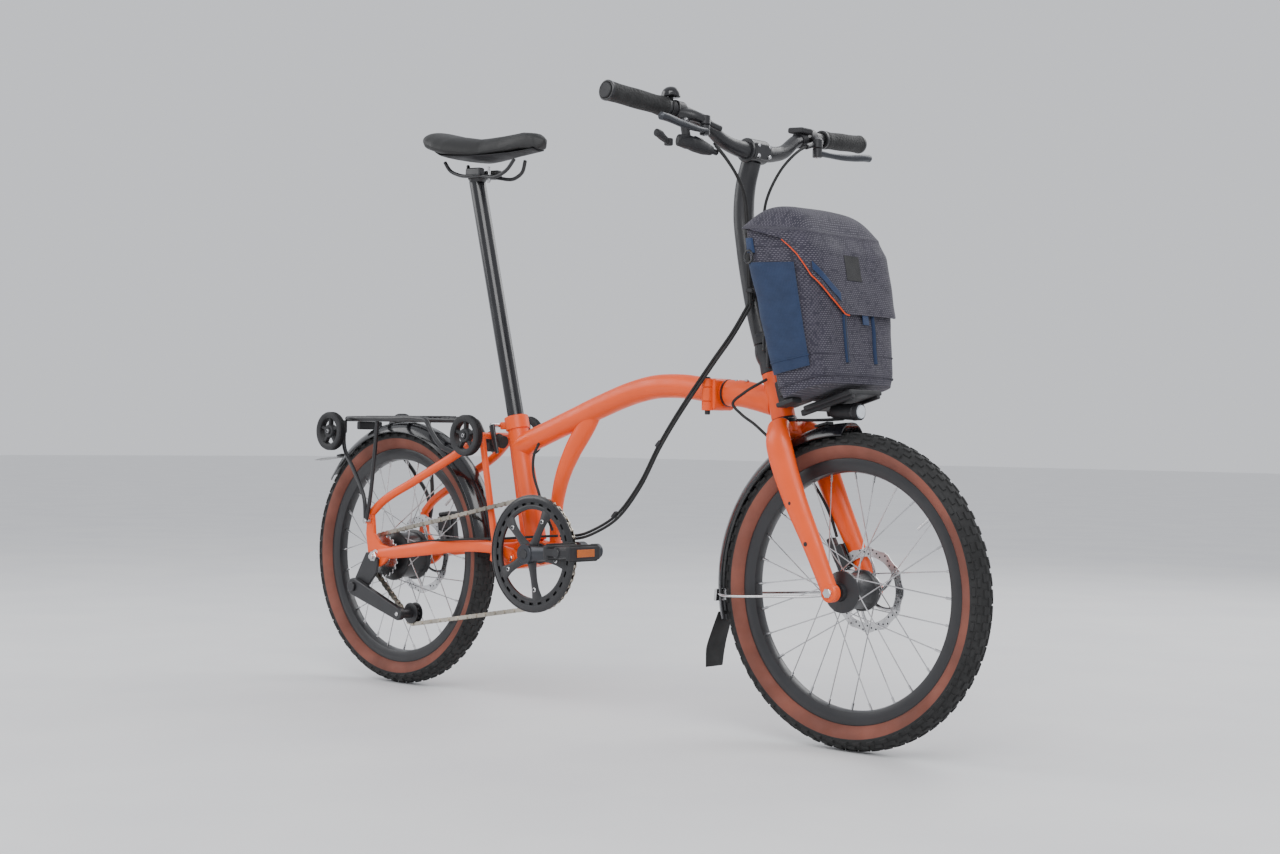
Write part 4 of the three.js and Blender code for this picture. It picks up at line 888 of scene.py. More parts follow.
def makeRoller(name, x, y, z):
    rim = [(26, -6.5), (28, -8), (33, -8.5), (36.5, -8), (38, -5), (38, 5), (36.5, 8), (33, 8.5), (28, 8),
           (26, 6.5)]
    boss = [(4.4, -6), (9, -7.4), (12, -6.8), (13.5, -4), (13.5, 4), (12, 6.8), (9, 7.4), (4.4, 6)]
    turned(f"{name}Rim", rim, (x, y, z), matteBlack, name, segments=56, replaced=[name])
    turned(f"{name}Boss", boss, (x, y, z), matteBlack, name, segments=40)
    for k in range(5):
        angle = math.radians(90 + 72 * k)
        block(f"{name}Spoke{k}", (x + 19.6 * math.cos(angle), y, z + 19.6 * math.sin(angle)), (15, 9, 6.5),
              matteBlack, name, turn=(0, -90 - 72 * k, 0), bevel=1.5)
    turned(f"{name}Tread", [(37.3, -5.6), (38, -5), (38, 5), (37.3, 5.6)], (x, y, z), rubberBlack, name,
           segments=56)
    side = np.sign(y)
    bar(f"{name}Cap", (x, y + side * 6, z), (x, y + side * 9.5, z), 6.5, blackPaint, name)
    bar(f"{name}Screw", (x, y + side * 9, z), (x, y + side * 10, z), 3.2, steel, name, sides=20)


tensionerPivot = {"x": -46, "z": 196}


def makeTensioner():
    x, z = tensionerPivot["x"], tensionerPivot["z"]
    outline = [(-10, 264), (14, 252), (10, 226), (-34, 178), (-50, 178), (-59, 188), (-58, 206), (-22, 264)]
    plate("tensionerBracket", outline, -78.6, -72.4, blackPaint, "rear_frame", bevel=1.5,
          replaced=["tensioner_bracket"])
    bar("tensionerPin", (x, -94, z), (x, -72, z), 6, steel, "rear_frame")
    tilt = math.degrees(math.atan2(jockey["z"] - z, jockey["x"] - x))
    arm = arc(jockey["x"], jockey["z"], 12, tilt - 84, tilt + 84, 12) + arc(x, z, 17, tilt + 96, tilt + 264,
                                                                            16)
    plate("tensionerArm", arm, -91, -79, blackPaint, "tensioner", bevel=2.5, replaced=["tensioner_arm"])
    bar("tensionerBolt", (x, -95.5, z), (x, -90, z), 9, blackPaint, "tensioner")
    bar("jockeyPin", (jockey["x"], -93, jockey["z"]), (jockey["x"], -44, jockey["z"]), 4, steel, "tensioner",
        sides=18)
    bar("jockeyBoss", (jockey["x"], -80, jockey["z"]), (jockey["x"], -56, jockey["z"]), 9, blackPaint,
        "tensioner")
    for label, near in (("Outer", -57.5), ("Inner", -44.5)):
        guard = [(9, near), (18.6, near), (20, near + 0.8), (20, near + 1.6), (18.6, near + 2.2),
                 (9, near + 2.2)]
        turned(f"jockeyGuard{label}", guard, (jockey["x"], 0, jockey["z"]), blackPaint, "tensioner",
               segments=48)
    toothedRing("jockeyTeeth", (jockey["x"], -50, jockey["z"]), 11, 18.2, 4.4, -51.3, -48.7, matteBlack,
                "jockey", replaced=["jockey_pulley"])
    turned("jockeyHub", [(4.4, -5), (8, -5), (13, -2), (13, 2), (8, 5), (4.4, 5)],
           (jockey["x"], -50, jockey["z"]), matteBlack, "jockey", segments=40)


print("rear frame")
makeSwingArm()
makeStays()
makeRearGuard()
makeRack()
for rollerSide, word in ((-1, "right"), (1, "left")):
    makeRoller(f"roller_rear_{word}", -120, rollerSide * 91, 499)
for rollerSide, word in ((-1, "right"), (1, "left")):
    makeRoller(f"roller_front_{word}", frontRoller["x"], rollerSide * 79, frontRoller["z"])
makeTensioner()


# Front half of the frame, fork, front mudguard, light

def makeFrontFrame():
    body = "frame_front"
    tube("mainTubeFront", [(814, 0, 571), (850, 0, 570), (890, 0, 563), (925, 0, 555)],
         [(22, 20), (22.5, 19), (23, 18)], orangePaint, body, steps=40, sides=44,
         replaced=["main_tube_front"])
    block("hingePlateFront", (813.6, -4.5, 568), (14.6, 53, 53), orangePaint, body, bevel=5)
    bar("hingeKnuckleFront", (hinge["x"], hinge["y"], 556.5), (hinge["x"], hinge["y"], 579.5), 10,
        orangePaint, body)
    turned("tubeSeam", [(20.4, -1.6), (22.9, -1.2), (22.9, 1.2), (20.4, 1.6)], (826, 0, 570.6), blackPaint,
           body, axis=(1, 0, -0.04), segments=64)
    for x in (846, 868):
        bar(f"tubeBolt{x}", (x, -4, 588.6), (x, -4, 592.6), 4.4, steel, body)
    tube("headTube", [headAt(528), headAt(603)], [20, 20], orangePaint, body, steps=8, sides=44,
         replaced=["head_tube"])
    for low, high, radius, material in ((518.5, 528.4, 20.8, blackPaint), (602.6, 606, 20.6, blackPaint)):
        bar(f"headRing{int(low)}", headAt(low), headAt(high), radius, material, body, sides=44)
    bar("headRingEdge", headAt(524), headAt(525.6), 21.6, steel, body, sides=44)
    block("carrierBlock", (headX(572) + 33, 0, 572), (42, 42, 44), matteBlack, body, turn=(0, -16.5, 0),
          bevel=4, replaced=["carrier_block"])
    block("carrierLatch", (headX(572) + 30, -23, 575), (22, 6, 20), matteBlack, body, turn=(0, -16.5, 0),
          bevel=2)
    body = "main_hinge_lever"
    block("hingeClamp", (806, 28.4, 568), (22, 11, 42), blackPaint, body, bevel=3,
          replaced=["main_hinge_lever"])
    bar("hingeLeverBolt", (806, 33, 568), (806, 41.5, 568), 7, blackPaint, body)
    tube("hingeLever", [(806, 38, 568), (830, 39, 568), (862, 38, 566)], [(8, 3.4), (7, 3.2), (6, 3)],
         blackPaint, body, steps=20, sides=20, rounding=1.5)


def makeFork():
    body = "fork"
    for side in (-1, 1):
        blade = mirrored([(954, 27, 514), (968, 47, 497), (984, 53, 458), (1009, 55, 402), (1044, 55, 334),
                          (1082, 55.5, 257)], side)
        tube(f"forkBlade{side}", blade,
             [(22, 17), (24, 14), (22, 12.5), (19, 11.5), (16.5, 10.5), (14.5, 9.5)], orangePaint, body,
             steps=72, sides=40, rounding=3, replaced=["fork"] if side > 0 else ())
        bar(f"forkEnd{side}", (wheelbase, side * 49, hubHeight), (wheelbase, side * 65, hubHeight), 14.5,
            orangePaint, body, sides=40, rounding=2)
        bar(f"frontAxleNut{side}", (wheelbase, side * 64.5, hubHeight), (wheelbase, side * 69, hubHeight), 8,
            steel, body, sides=6, sharp=20)
    # Matte black discs on the right blade: painted shade standing in for its two threaded sockets
    for k, (x, z) in enumerate(((1008.5, 394), (1040, 331))):
        bar(f"bladeSocketShade{k}", (x, -67.2, z), (x, -62, z), 3.6, matteBlack, body, sides=20)
    bar("forkCrown", (headX(500) - 1, -36, 509), (headX(500) - 1, 36, 509), 17, orangePaint, body, sides=40,
        rounding=5)
    bar("crownRace", headAt(503), headAt(519), 20, orangePaint, body, sides=40)
    bar("steerer", headAt(508), headAt(624), 14, steel, body, sides=24)
    bar("frontAxle", (wheelbase, -66, hubHeight), (wheelbase, 66, hubHeight), 7, steel, body, sides=24)
    block("frontCaliper", (1033, 47.5, 306), (24, 6, 42), blackPaint, body, turn=(0, -27, 0), bevel=2,
          replaced=["front_caliper"])
    block("frontCaliperInner", (1033, 37, 306), (24, 8, 40), blackPaint, body, turn=(0, -27, 0), bevel=2.5)
    block("frontCaliperBridge", (1019, 42, 317), (11, 17, 42), blackPaint, body, turn=(0, -27, 0), bevel=2.5)


def makeFrontGuard():
    body = "fork"
    centre = (wheelbase, 0, hubHeight)
    mudguard("frontMudguard", centre, 266, 30, 91, 194, body, replaced=["front_mudguard"])
    for side in (-1, 1):
        line = [(wheelbase + x, side * y, hubHeight + z) for x, y,
                z in ((-256, 22, -20), (-235, 40, -20), (-120, 62, -13), (-24, 70, -6), (-8, 70, -4))]
        tube(f"guardStay{side}", line, 2.1, steel, body, steps=44, sides=12)
    flap = [(wheelbase + x, 0, hubHeight + z) for x,
            z in ((-258, -50), (-268, -78), (-279, -112), (-282, -144))]
    tube("frontFlap", flap, [(1.5, 20), (1.5, 23), (1.5, 25), (1.5, 22)], rubberBlack, body, steps=30,
         sides=28, rounding=0.5)
    block("stayClip", (wheelbase - 261, -8, hubHeight - 22), (5, 34, 20), steel, body, turn=(0, 5, 0),
          bevel=1)
    block("guardTongue", (wheelbase - 60, 0, hubHeight + 262), (26, 18, 4), matteBlack, body,
          turn=(0, -14, 0), bevel=1)


def makeLight():
    body, centre = "fork", (1068, 0, 539.5)
    shell = [(0.5, -28), (9, -27), (11.5, -22), (12.5, -4), (13.6, 22), (13.6, 27), (12.4, 28.4), (11.4, 27),
             (0.5, 26)]
    turned("lightShell", shell, centre, matteBlack, body, axis=(1, 0, 0), segments=48,
           replaced=["front_light"])
    turned("lightLens", [(0.5, 26.5), (11.2, 27), (10.2, 29.6), (5, 31.2), (0.5, 31.6)], centre, clearLens,
           body, axis=(1, 0, 0), segments=40)
    turned("lightRing", [(13.3, 14), (14.1, 15), (14.1, 18), (13.3, 19)], centre, blackPaint, body,
           axis=(1, 0, 0))
    tube("lightBracket", [(1060, 0, 528), (1040, 0, 527), (1000, 0, 526), (972, 0, 526)], [(2.5, 8)] * 3,
         matteBlack, body, steps=20, sides=18)


stemHinge = {"x": 887, "y": 18, "z": 650}  # middle of the pin that the stem folds about


def makeStemBase():
    body = "fork"
    tube("stemBase", [headAt(604), headAt(622), (907, 0, 634), (905, 0, 649.6)],
         [(21, 21), (20.5, 20.5), (19.5, 20.5)], blackPaint, body, steps=28, sides=40, replaced=["stem_base"])
    for low, high in ((-16, -5.4), (5.4, 16)):
        ends = [(stemHinge["x"] + s * 0.7071, stemHinge["y"] + s * 0.7071, stemHinge["z"])
                for s in (low, high)]
        bar(f"stemKnuckle{int(low)}", *ends, 7.5, blackPaint, body)
    hingeX, hingeY, hingeZ = stemHinge["x"], stemHinge["y"], stemHinge["z"]
    bar("stemPin", (hingeX - 13, hingeY - 13, hingeZ), (hingeX + 13, hingeY + 13, hingeZ), 3.4, steel, body)

    # Place at a distance out from the stem's foot, along the clamp's diagonal
    def at(out, z):
        return (905 + 0.7071 * out, -0.7071 * out, z)

    body = "stem_clamp_lever"
    block("stemClamp", at(28, 650), (9, 20, 25), blackPaint, body, turn=(0, 0, -45), bevel=2.5,
          replaced=["stem_clamp_lever"])
    tube("stemLever", [at(31, 655), at(37, 650), at(39, 636), at(37, 610)],
         [(5, 6), (5, 7), (4, 6), (3.5, 5)], blackPaint, body, steps=24, sides=20, rounding=1.5)


print("front frame and fork")
makeFrontFrame()
makeFork()
makeFrontGuard()
makeLight()
makeStemBase()


# Folding stem, handlebar, controls

def barLine(side):
    return [(873, 0, 970), (873, side * 40, 970), (871, side * 78, 978), (866, side * 118, 1001),
            (859, side * 158, 1013), (853, side * 205, 1018), (850, side * 268, 1022),
            (848.2, side * 329, 1025.7)]


# Point on the straight outer part of the bar at a distance y from the middle
def onBar(side, y, lift=0):
    inner, outer = np.array(barLine(side)[5]), np.array(barLine(side)[7])
    return tuple(inner + (outer - inner) * (y - 205) / 124 + np.array([0, 0, lift]))


def makeStem():
    body = "stem"
    points = [(903, 0, 651), (893, 0, 680), (876, 0, 740), (861, 0, 809), (853, 0, 865), (857, 0, 918),
              (868, 0, 955)]
    tube("stemPost", points, [(19.5, 19.5), (18.4, 19), (17.5, 18.4), (16.8, 18), (16, 17.2)], blackPaint,
         body, steps=80, sides=40, replaced=["stem_post"])
    bar("stemFoot", (905, 0, 650.4), (900.5, 0, 668), 20, blackPaint, body, sides=40, rounding=1.5)
    turned("stemSeam", [(18.2, -1), (20.3, -0.7), (20.3, 0.7), (18.2, 1)], (901.5, 0, 664), darkMetal, body,
           axis=(-0.28, 0, 0.96))
    hingeX, hingeY, hingeZ = stemHinge["x"], stemHinge["y"], stemHinge["z"] + 0.6
    bar("stemKnuckle", (hingeX - 3.4, hingeY - 3.4, hingeZ), (hingeX + 3.4, hingeY + 3.4, hingeZ), 7.5,
        blackPaint, body)
    bar("barClamp", (873, -23, 970), (873, 23, 970), 20, blackPaint, body, sides=40, rounding=2)
    block("barClampCap", (890, 0, 968), (10, 40, 26), blackPaint, body, turn=(0, 8, 0), bevel=3)
    for y in (-14, 14):
        for z in (960, 977):
            bar(f"clampScrew{y}_{z}", (893, y, z), (897, y, z), 3.4, steel, body, sides=16)
    whole = barLine(-1)[:0:-1] + barLine(1)
    widths = [11, 11, 11, 11, 11, 12.5, 15.9, 12.5, 11, 11, 11, 11, 11]
    tube("handlebar", whole, widths, blackPaint, body, steps=140, sides=28, reference=(0, 0, 1),
         replaced=["handlebar"])


def makeGrip(side, start, name):
    table = [15.2, 16.0, 14.6, 14.8, 15.2, 15.4, 15.2, 14.9, 14.9, 15.4, 16.0]
    tube(f"{name}Rubber", [onBar(side, start), onBar(side, 270), onBar(side, 331)], table, gripRubber, "stem",
         steps=60, sides=36, reference=(0, 0, 1), rounding=2, replaced=[name])
    for y in (start + 1, 326):
        bar(f"{name}Ring{y}", onBar(side, y - 1), onBar(side, y + 5), 16.2, blackPaint, "stem", sides=36)
    bar(f"{name}Plug", onBar(side, 330), onBar(side, 333), 12, matteBlack, "stem", sides=28)


def makeBrake(side, name, leverBody):
    body, x, y = "stem", 892, side * 148  # the lever's pivot stands upright here
    bar(f"{name}Band", onBar(side, 163), onBar(side, 181), 15.5, blackPaint, body, sides=32, replaced=[name])
    tube(f"{name}Arm", [(862, side * 172, 1011), (880, side * 164, 1006), (x, y, 1000)],
         [(9, 11), (9, 10), (8, 9)], blackPaint, body, steps=16, sides=22)
    bar(f"{name}Joint", (x, y, 992.4), (x, y, 1007), 9, blackPaint, body)
    bar(f"{name}Barrel", (889, side * 140, 998), (895, side * 112, 990), 5, blackPaint, body)
    bar(f"{name}BandBolt", (871, side * 172, 1004), (876, side * 172, 998), 3.5, steel, body)
    bar(f"{leverBody}Boss", (x, y, 976), (x, y, 992), 8.4, blackPaint, leverBody, replaced=[leverBody])
    line = [(x, y, 984), (899, side * 168, 982), (905, side * 190, 981), (909, side * 226, 983),
            (911, side * 262, 987), (910, side * 276, 988)]
    tube(f"{leverBody}Blade", line, [(8, 5), (6.5, 4.6), (5.4, 5.4), (5, 6), (5.4, 6.2), (6.4, 6.4)],
         darkMetal, leverBody, steps=44, sides=22, reference=(0, 0, 1), rounding=3)
    bar(f"{leverBody}Pin", (x, y, 974.5), (x, y, 977), 4, steel, leverBody)


def makeShifter():
    tube("shifterPod", [(880, -200, 963), (884, -184, 962), (884, -167, 960.5), (884, -140, 957),
                        (884, -122, 955)], [(9, 8), (12.2, 11), (12.6, 12), (11, 11), (7.5, 7.5)], matteBlack,
         "stem", steps=40, sides=32, rounding=3)
    bar("shifterStem", (866, -170, 1003), (874, -170, 966), 7, matteBlack, "stem")
    bar("shifterWindow", (880, -160, 968), (880, -142, 965), 7, glossBlack, "stem")
    bar("shifterBarrel", (884, -124, 955), (886, -110, 953), 4.6, blackPaint, "stem")
    bar("thumbPivot", (874, -214, 953), (874, -214, 964), 7, matteBlack, "shift_lever",
        replaced=["shift_lever"])
    tube("thumbLever", [(875, -214, 958), (882, -236, 962), (888, -252, 965), (890, -262, 966)],
         [(3, 5), (4, 6), (6, 7), (5, 6)], matteBlack, "shift_lever", steps=24, sides=20, reference=(0, 0, 1),
         rounding=2)


def makeBell():
    centre = (855, -188.5, 1034.4)
    dome = [(0.4, 0), (14.6, 0), (15.4, 0.6), (15.6, 3), (14.9, 7.2), (12.6, 11.6), (9, 14.8), (4.5, 16.5),
            (0.4, 16.9), (0.4, 14.6), (6, 13.6), (10.6, 10.6), (13.4, 6), (14, 1.4), (0.4, 1.2)]
    turned("bellDome", dome, centre, glossBlack, "stem", axis=(0, 0, 1), segments=56, replaced=["bell"])
    bar("bellPost", (855, -188.5, 1016), (855, -188.5, 1036), 4, matteBlack, "stem")
    bar("bellBand", onBar(-1, 183.4), onBar(-1, 193), 14.2, matteBlack, "stem", sides=32)
    block("bellHammer", (868, -200, 1037), (12, 7, 5), matteBlack, "stem", turn=(0, 0, -30), bevel=1.5)


def makeDisplay():
    block("gearDisplay", (862, 139, 1023), (32, 32, 10), matteBlack, "stem", turn=(0, 4, 0), bevel=3,
          replaced=["brake_body_left"])
    block("displayWindow", (860, 139, 1028), (19, 19, 1.6), glossBlack, "stem", turn=(0, 4, 0), bevel=0.7)
    bar("displayBand", (862.6, 131, 1006), (861.4, 146, 1009.4), 13.8, matteBlack, "stem", sides=28)


print("stem and handlebar")
makeStem()
makeGrip(-1, 197, "grip_right")
makeGrip(1, 209, "grip_left")
makeBrake(-1, "brake_body_right", "brake_lever_right")
makeBrake(1, "brake_body_left", "brake_lever_left")
makeShifter()
makeBell()
makeDisplay()


# Cables

# One cable that crosses joints is drawn as stretches, each riding on a body, or left unattached in place
# where it spans the joint between two bodies
def cable(name, points, radius, body, blended=None, **more):
    piece = tube(name, points, radius, rubberBlack, None if blended else body, steps=max(24, 7 * len(points)),
                 sides=12, reference=(0.3, 0.9, 0.2), rounding=0.3, **more)
    if blended:
        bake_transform(piece)
    return piece


def makeCables():
    upper = [(886, -118, 968), (892, -100, 950), (894, -55, 900), (884, -31, 845), (884, -26, 780),
             (890, -29, 720)]
    lower = [(890, -29, 716), (868, -45, 668), (828, -45, 624), (709, -45, 480), (667, -45, 415),
             (609, -45, 356), (559, -43, 332), (518, -34, 321), (462, -28, 316)]
    for k, (dx, dy, dz) in enumerate(((0, 0, 0), (5, -2, -5))):
        shift = np.array([dx, dy, dz])
        cable(f"cablesUpper{k}", np.array(upper) + shift, 2.5, "stem", replaced=["cables_upper"] if k == 0
              else ())
        piece = cable(f"cablesLower{k}", np.array(lower) + shift, 2.5, None,
                      blended=("frame_front", "frame_rear", (815, 0, 560), (640, 0, 400)),
                      replaced=["cables_main"] if k == 0 else ())
        cable(f"cablesLink{k}", [upper[-1] + shift, (890, -29, 718) + shift, lower[0] + shift], 2.5, "stem")
    for k, (x, y, z) in enumerate(((888, -29, 832), (892, -30, 735))):
        block(f"upperClip{k}", (x + 2, y - 1, z + 2), (15, 9, 7), matteBlack, "stem", turn=(0, 6, 0), bevel=2)
    for k, (x, y, z) in enumerate(((709, -46, 482), (609, -46, 358))):
        clip = block(f"lowerClip{k}", (x + 3, y, z + 2), (14, 9, 7), matteBlack, None, turn=(0, -45, 0),
                     bevel=2)
        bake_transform(clip)
    drop = [(388, -12, 482), (386, -22, 462), (392, -30, 430), (412, -36, 395), (436, -40, 356),
            (452, -38, 326)]
    cable("frameCable", drop, 2.5, "frame_rear")
    loop = [(926, -24, 592), (894, -42, 570), (872, -45, 552), (892, -46, 534), (918, -46, 519),
            (944, -45, 500)]
    cable("brakeHose", loop, 2.4, None, blended=("frame_front", "fork", (926, 0, 585), (926, 0, 520)),
          replaced=["cable_front"])
    hose = [(944, -45, 500), (962, -30, 474), (975, 0, 452), (985, 30, 420), (1005, 46, 372), (1018, 47, 338)]
    cable("forkHose", hose, 2.4, "fork")
    left = [(895, 112, 990), (900, 84, 978), (897, 40, 940), (888, 16, 890), (886, 8, 830), (890, -14, 760),
            (893, -24, 722)]
    cable("leftHose", left, 2.4, "stem")
    gear = [(455, -28, 316), (400, -30, 312), (330, -36, 306), (230, -50, 300), (120, -62, 290),
            (40, -60, 276)]
    cable("gearCable", gear, 2.3, None, blended=("frame_rear", "rear_frame", (390, 0, 283), (250, 0, 283)))


# Front bag: the body, its flap, a navy pocket on the right, zips, patch, trim and the frame that hangs on the
# carrier
bagForm = {"halfWidth": 112, "halfDepth": 46, "cornerFront": 0.42, "cornerSide": 0.36, "dome": 37,
           "columns": 220, "crownEnd": 1.97, "pressure": 2.5, "frames": 12, "cap": 0.005,
           "flapEdge": ([0, 0.16, 0.185, 0.235, 0.30, 0.70, 0.775, 0.80, 0.825, 0.88, 0.935, 0.96, 1.0],
                        [0.47, 0.47, 0.5, 0.9, 1.01, 1.01, 0.955, 0.86, 0.72, 0.585, 0.475, 0.465, 0.47])}


# The bag's plan at w (0 to 1 round it from the middle of the front, by equal steps of length): a rounded
# rectangle made by powers of the cosine and sine, as (out, across) from -1 to 1
def planAt(w):
    a = np.linspace(0, 2 * np.pi, 6001)
    out = np.sign(np.cos(a)) * np.abs(np.cos(a)) ** bagForm["cornerFront"]
    across = np.sign(np.sin(a)) * np.abs(np.sin(a)) ** bagForm["cornerSide"]
    steps = np.hypot(np.diff(out) * bagForm["halfDepth"], np.diff(across) * bagForm["halfWidth"])
    length = np.r_[0, np.cumsum(steps)]
    clock = np.mod(w, 1.0) * length[-1]
    return np.interp(clock, length, out), np.interp(clock, length, across)


# Soft unevenness of stuffed cloth: slow waves, short creases under the top edge and wrinkles low at the
# corners
def softWaves(x, y, z, t):
    slow = 1.5 * np.sin(x / 23 + 1.3) * np.sin(z / 31 + y / 60) + 1.3 * np.sin(y / 27 + z / 45)
    crease = 1.3 * np.exp(-((t - 0.93) / 0.06) ** 2) * np.sin(y / 9 + x / 14)
    low = 1.4 * np.exp(-((t - 0.1) / 0.09) ** 2) * np.sin((x + y) / 11)
    pull = 0.8 * np.exp(-((t - 0.5) / 0.25) ** 2) * np.sin(z / 9 + (x + y) / 17)
    return slow + crease + low + pull


# Point on the bag at w round it and t up it. From t = 0 to 1 the wall rises between the back and front edges
# and swells a little; from 1 to 2 the domed top closes over, higher in the middle of its depth; below 0 the
# base closes inwards. It is moved out by grow and by the soft waves
def bagPoint(w, t, grow=0.0):
    out, across = planAt(w)
    wall, over, under = np.clip(t, 0, 1), np.clip(t - 1, 0, 1), np.clip(-t, 0, 1)
    backX, frontX = np.interp(wall, [0, 1], [1006, 930]), np.interp(wall, [0, 0.9, 1], [1098, 1071, 1058])
    backZ, frontZ = 556 + 272 * wall, 583 + 231 * wall
    swell = np.sin(np.pi * wall) ** 0.7
    share = np.cos(over * np.pi / 2) ** 0.75 * (1 - under)
    u, v = out * share, across * share
    tuck = 1 - 0.035 * np.exp(-(wall / 0.05) ** 2)
    x = (backX + frontX) / 2 + u * ((frontX - backX) / 2 * (1 + 0.05 * swell) * tuck + grow)
    y = v * (bagForm["halfWidth"] * (0.955 + 0.05 * swell) * tuck + grow)
    dome = bagForm["dome"] * (1 - np.abs(u) ** 2.4) * (1 - np.abs(v) ** 9) * (1 - share ** 9)
    z = (backZ + frontZ) / 2 + u * (frontZ - backZ) / 2 + (over > 0) * (dome + grow * over ** 0.3)
    wave = softWaves(x, y, z, t) * (1 - under)
    return np.stack([x + wave * u * 0.8, y + wave * v * 0.6, z + wave * (1 - share) * 0.8], -1)


# Flat place of the cloth in metres: along the perimeter, and up the wall or back over the top
def bagUv(w, t, points):
    wrapped = np.mod(w + 0.5, 1.0) - 0.5
    onTop = np.clip((1.2 - t) / 0.2, 0, 1) * np.clip((0.36 - np.abs(wrapped)) / 0.06, 0, 1)
    wallward = np.where(t <= 1, 1.0, onTop)
    along = wallward * wrapped * 636 + (1 - wallward) * points[..., 1]
    upward = wallward * points[..., 2] + (1 - wallward) * (850 + 1056 - points[..., 0])
    return np.stack([along, upward], -1) * 0.001


# A piece of cloth on the bag: an outer and an inner skin over the same (w, t) grid, joined round their edge
def bagCloths(name, w, t, grow, thick, material, body, closed=False, **more):
    rows, columns = w.shape
    outer, inner = bagPoint(w, t, grow), bagPoint(w, t, grow - thick)
    uv = bagUv(w, t, outer)
    first = gridFaces(rows, columns, closeColumns=closed)
    faces = [first, first[:, ::-1] + rows * columns]
    edge = [np.arange(columns) + row * columns for row in (0, rows - 1)]
    loops = [(line if closed else line[:-1], np.roll(line, -1) if closed else line[1:]) for line in edge]
    if not closed:
        side = [np.arange(rows) * columns, np.arange(rows) * columns + columns - 1]
        loops += [(line[:-1], line[1:]) for line in side]
    for k, (start, end) in enumerate(loops):
        strip = np.stack([start, end, end + rows * columns, start + rows * columns], -1)
        faces.append(strip[:, ::-1] if k in (0, 3) else strip)
    vertices = np.concatenate([outer.reshape(-1, 3), inner.reshape(-1, 3)])
    cloth = np.concatenate([uv.reshape(-1, 2)] * 2)
    return addPiece(name, place(vertices), np.concatenate(faces), material, body, sharp=75, uv=cloth, **more)


# A patch of cloth between two w and two t limits, its edges leaning with the skew (change of w with t)
def bagPatch(name, w0, w1, t0, t1, grow, thick, material, body="bag", skew=0.0, rows=30, columns=30, **more):
    t = np.linspace(t0, t1, rows)[:, None] + np.zeros((1, columns))
    w = np.linspace(w0, w1, columns)[None, :] + skew * (t - t0)
    return bagCloths(name, w, t, grow, thick, material, body, **more)


# A cord or trim that lies on the bag along a line of (w, t) points
def bagTrim(name, line, grow, radius, material, body, steps=60, **more):
    w, t = np.array(line, float).T
    points = bagPoint(w, t, grow)
    return tube(name, points, radius, material, body, steps=steps, sides=12, reference=(0.31, 0.55, 0.77),
                rounding=0.4, **more)


def makeBagBody():
    columns = bagForm["columns"]
    t = np.concatenate([np.linspace(-0.97, 0, 8), np.linspace(0.012, 1, 84),
                        np.linspace(1.03, bagForm["crownEnd"], 22)])[:, None]
    w = np.linspace(0, 1, columns, endpoint=False)[None, :] + 0 * t
    t = t + 0 * w
    points = bagPoint(w, t)
    rows = len(points)
    faces = [list(face) for face in gridFaces(rows, columns)]
    faces += [list(range(columns))[::-1], list(range((rows - 1) * columns, rows * columns))]
    shell = addPiece("bagBody", place(points.reshape(-1, 3)), faces, bagCloth, "bag", replaced=["bag_body"],
                     sharp=70, uv=bagUv(w, t, points).reshape(-1, 2), slot="bag_fabric")
    return relaxCloth(shell)


# Cloth simulation on the stuffed body: a little pressure, no gravity, and no point may travel further than
# the cap
def relaxCloth(shell):
    rest = np.empty(len(shell.data.vertices) * 3)
    shell.data.vertices.foreach_get("co", rest)
    cloth = shell.modifiers.new("stuffing", "CLOTH")
    cloth.settings.quality = 4
    cloth.settings.mass = 0.3
    cloth.settings.use_pressure = True
    cloth.settings.uniform_pressure_force = bagForm["pressure"]
    cloth.settings.tension_stiffness = 25
    cloth.settings.compression_stiffness = 25
    cloth.settings.bending_stiffness = 2
    cloth.settings.effector_weights.gravity = 0
    cloth.collision_settings.use_collision = False
    for number in range(1, bagForm["frames"] + 1):
        bpy.context.scene.frame_set(number)
    settled = shell.evaluated_get(bpy.context.evaluated_depsgraph_get()).data
    moved = np.empty(len(settled.vertices) * 3)
    settled.vertices.foreach_get("co", moved)
    shift = (moved - rest).reshape(-1, 3)
    travel = np.linalg.norm(shift, axis=1, keepdims=True)
    shift *= np.minimum(1, bagForm["cap"] / np.maximum(travel, 1e-9))
    shell.modifiers.remove(cloth)
    bpy.context.scene.frame_set(1)
    shell.data.vertices.foreach_set("co", (rest.reshape(-1, 3) + shift).ravel())
    shell.data.update()
    print("bag settled by", round(float(np.abs(shift).max()) * 1000, 1), "mm")
    return shell


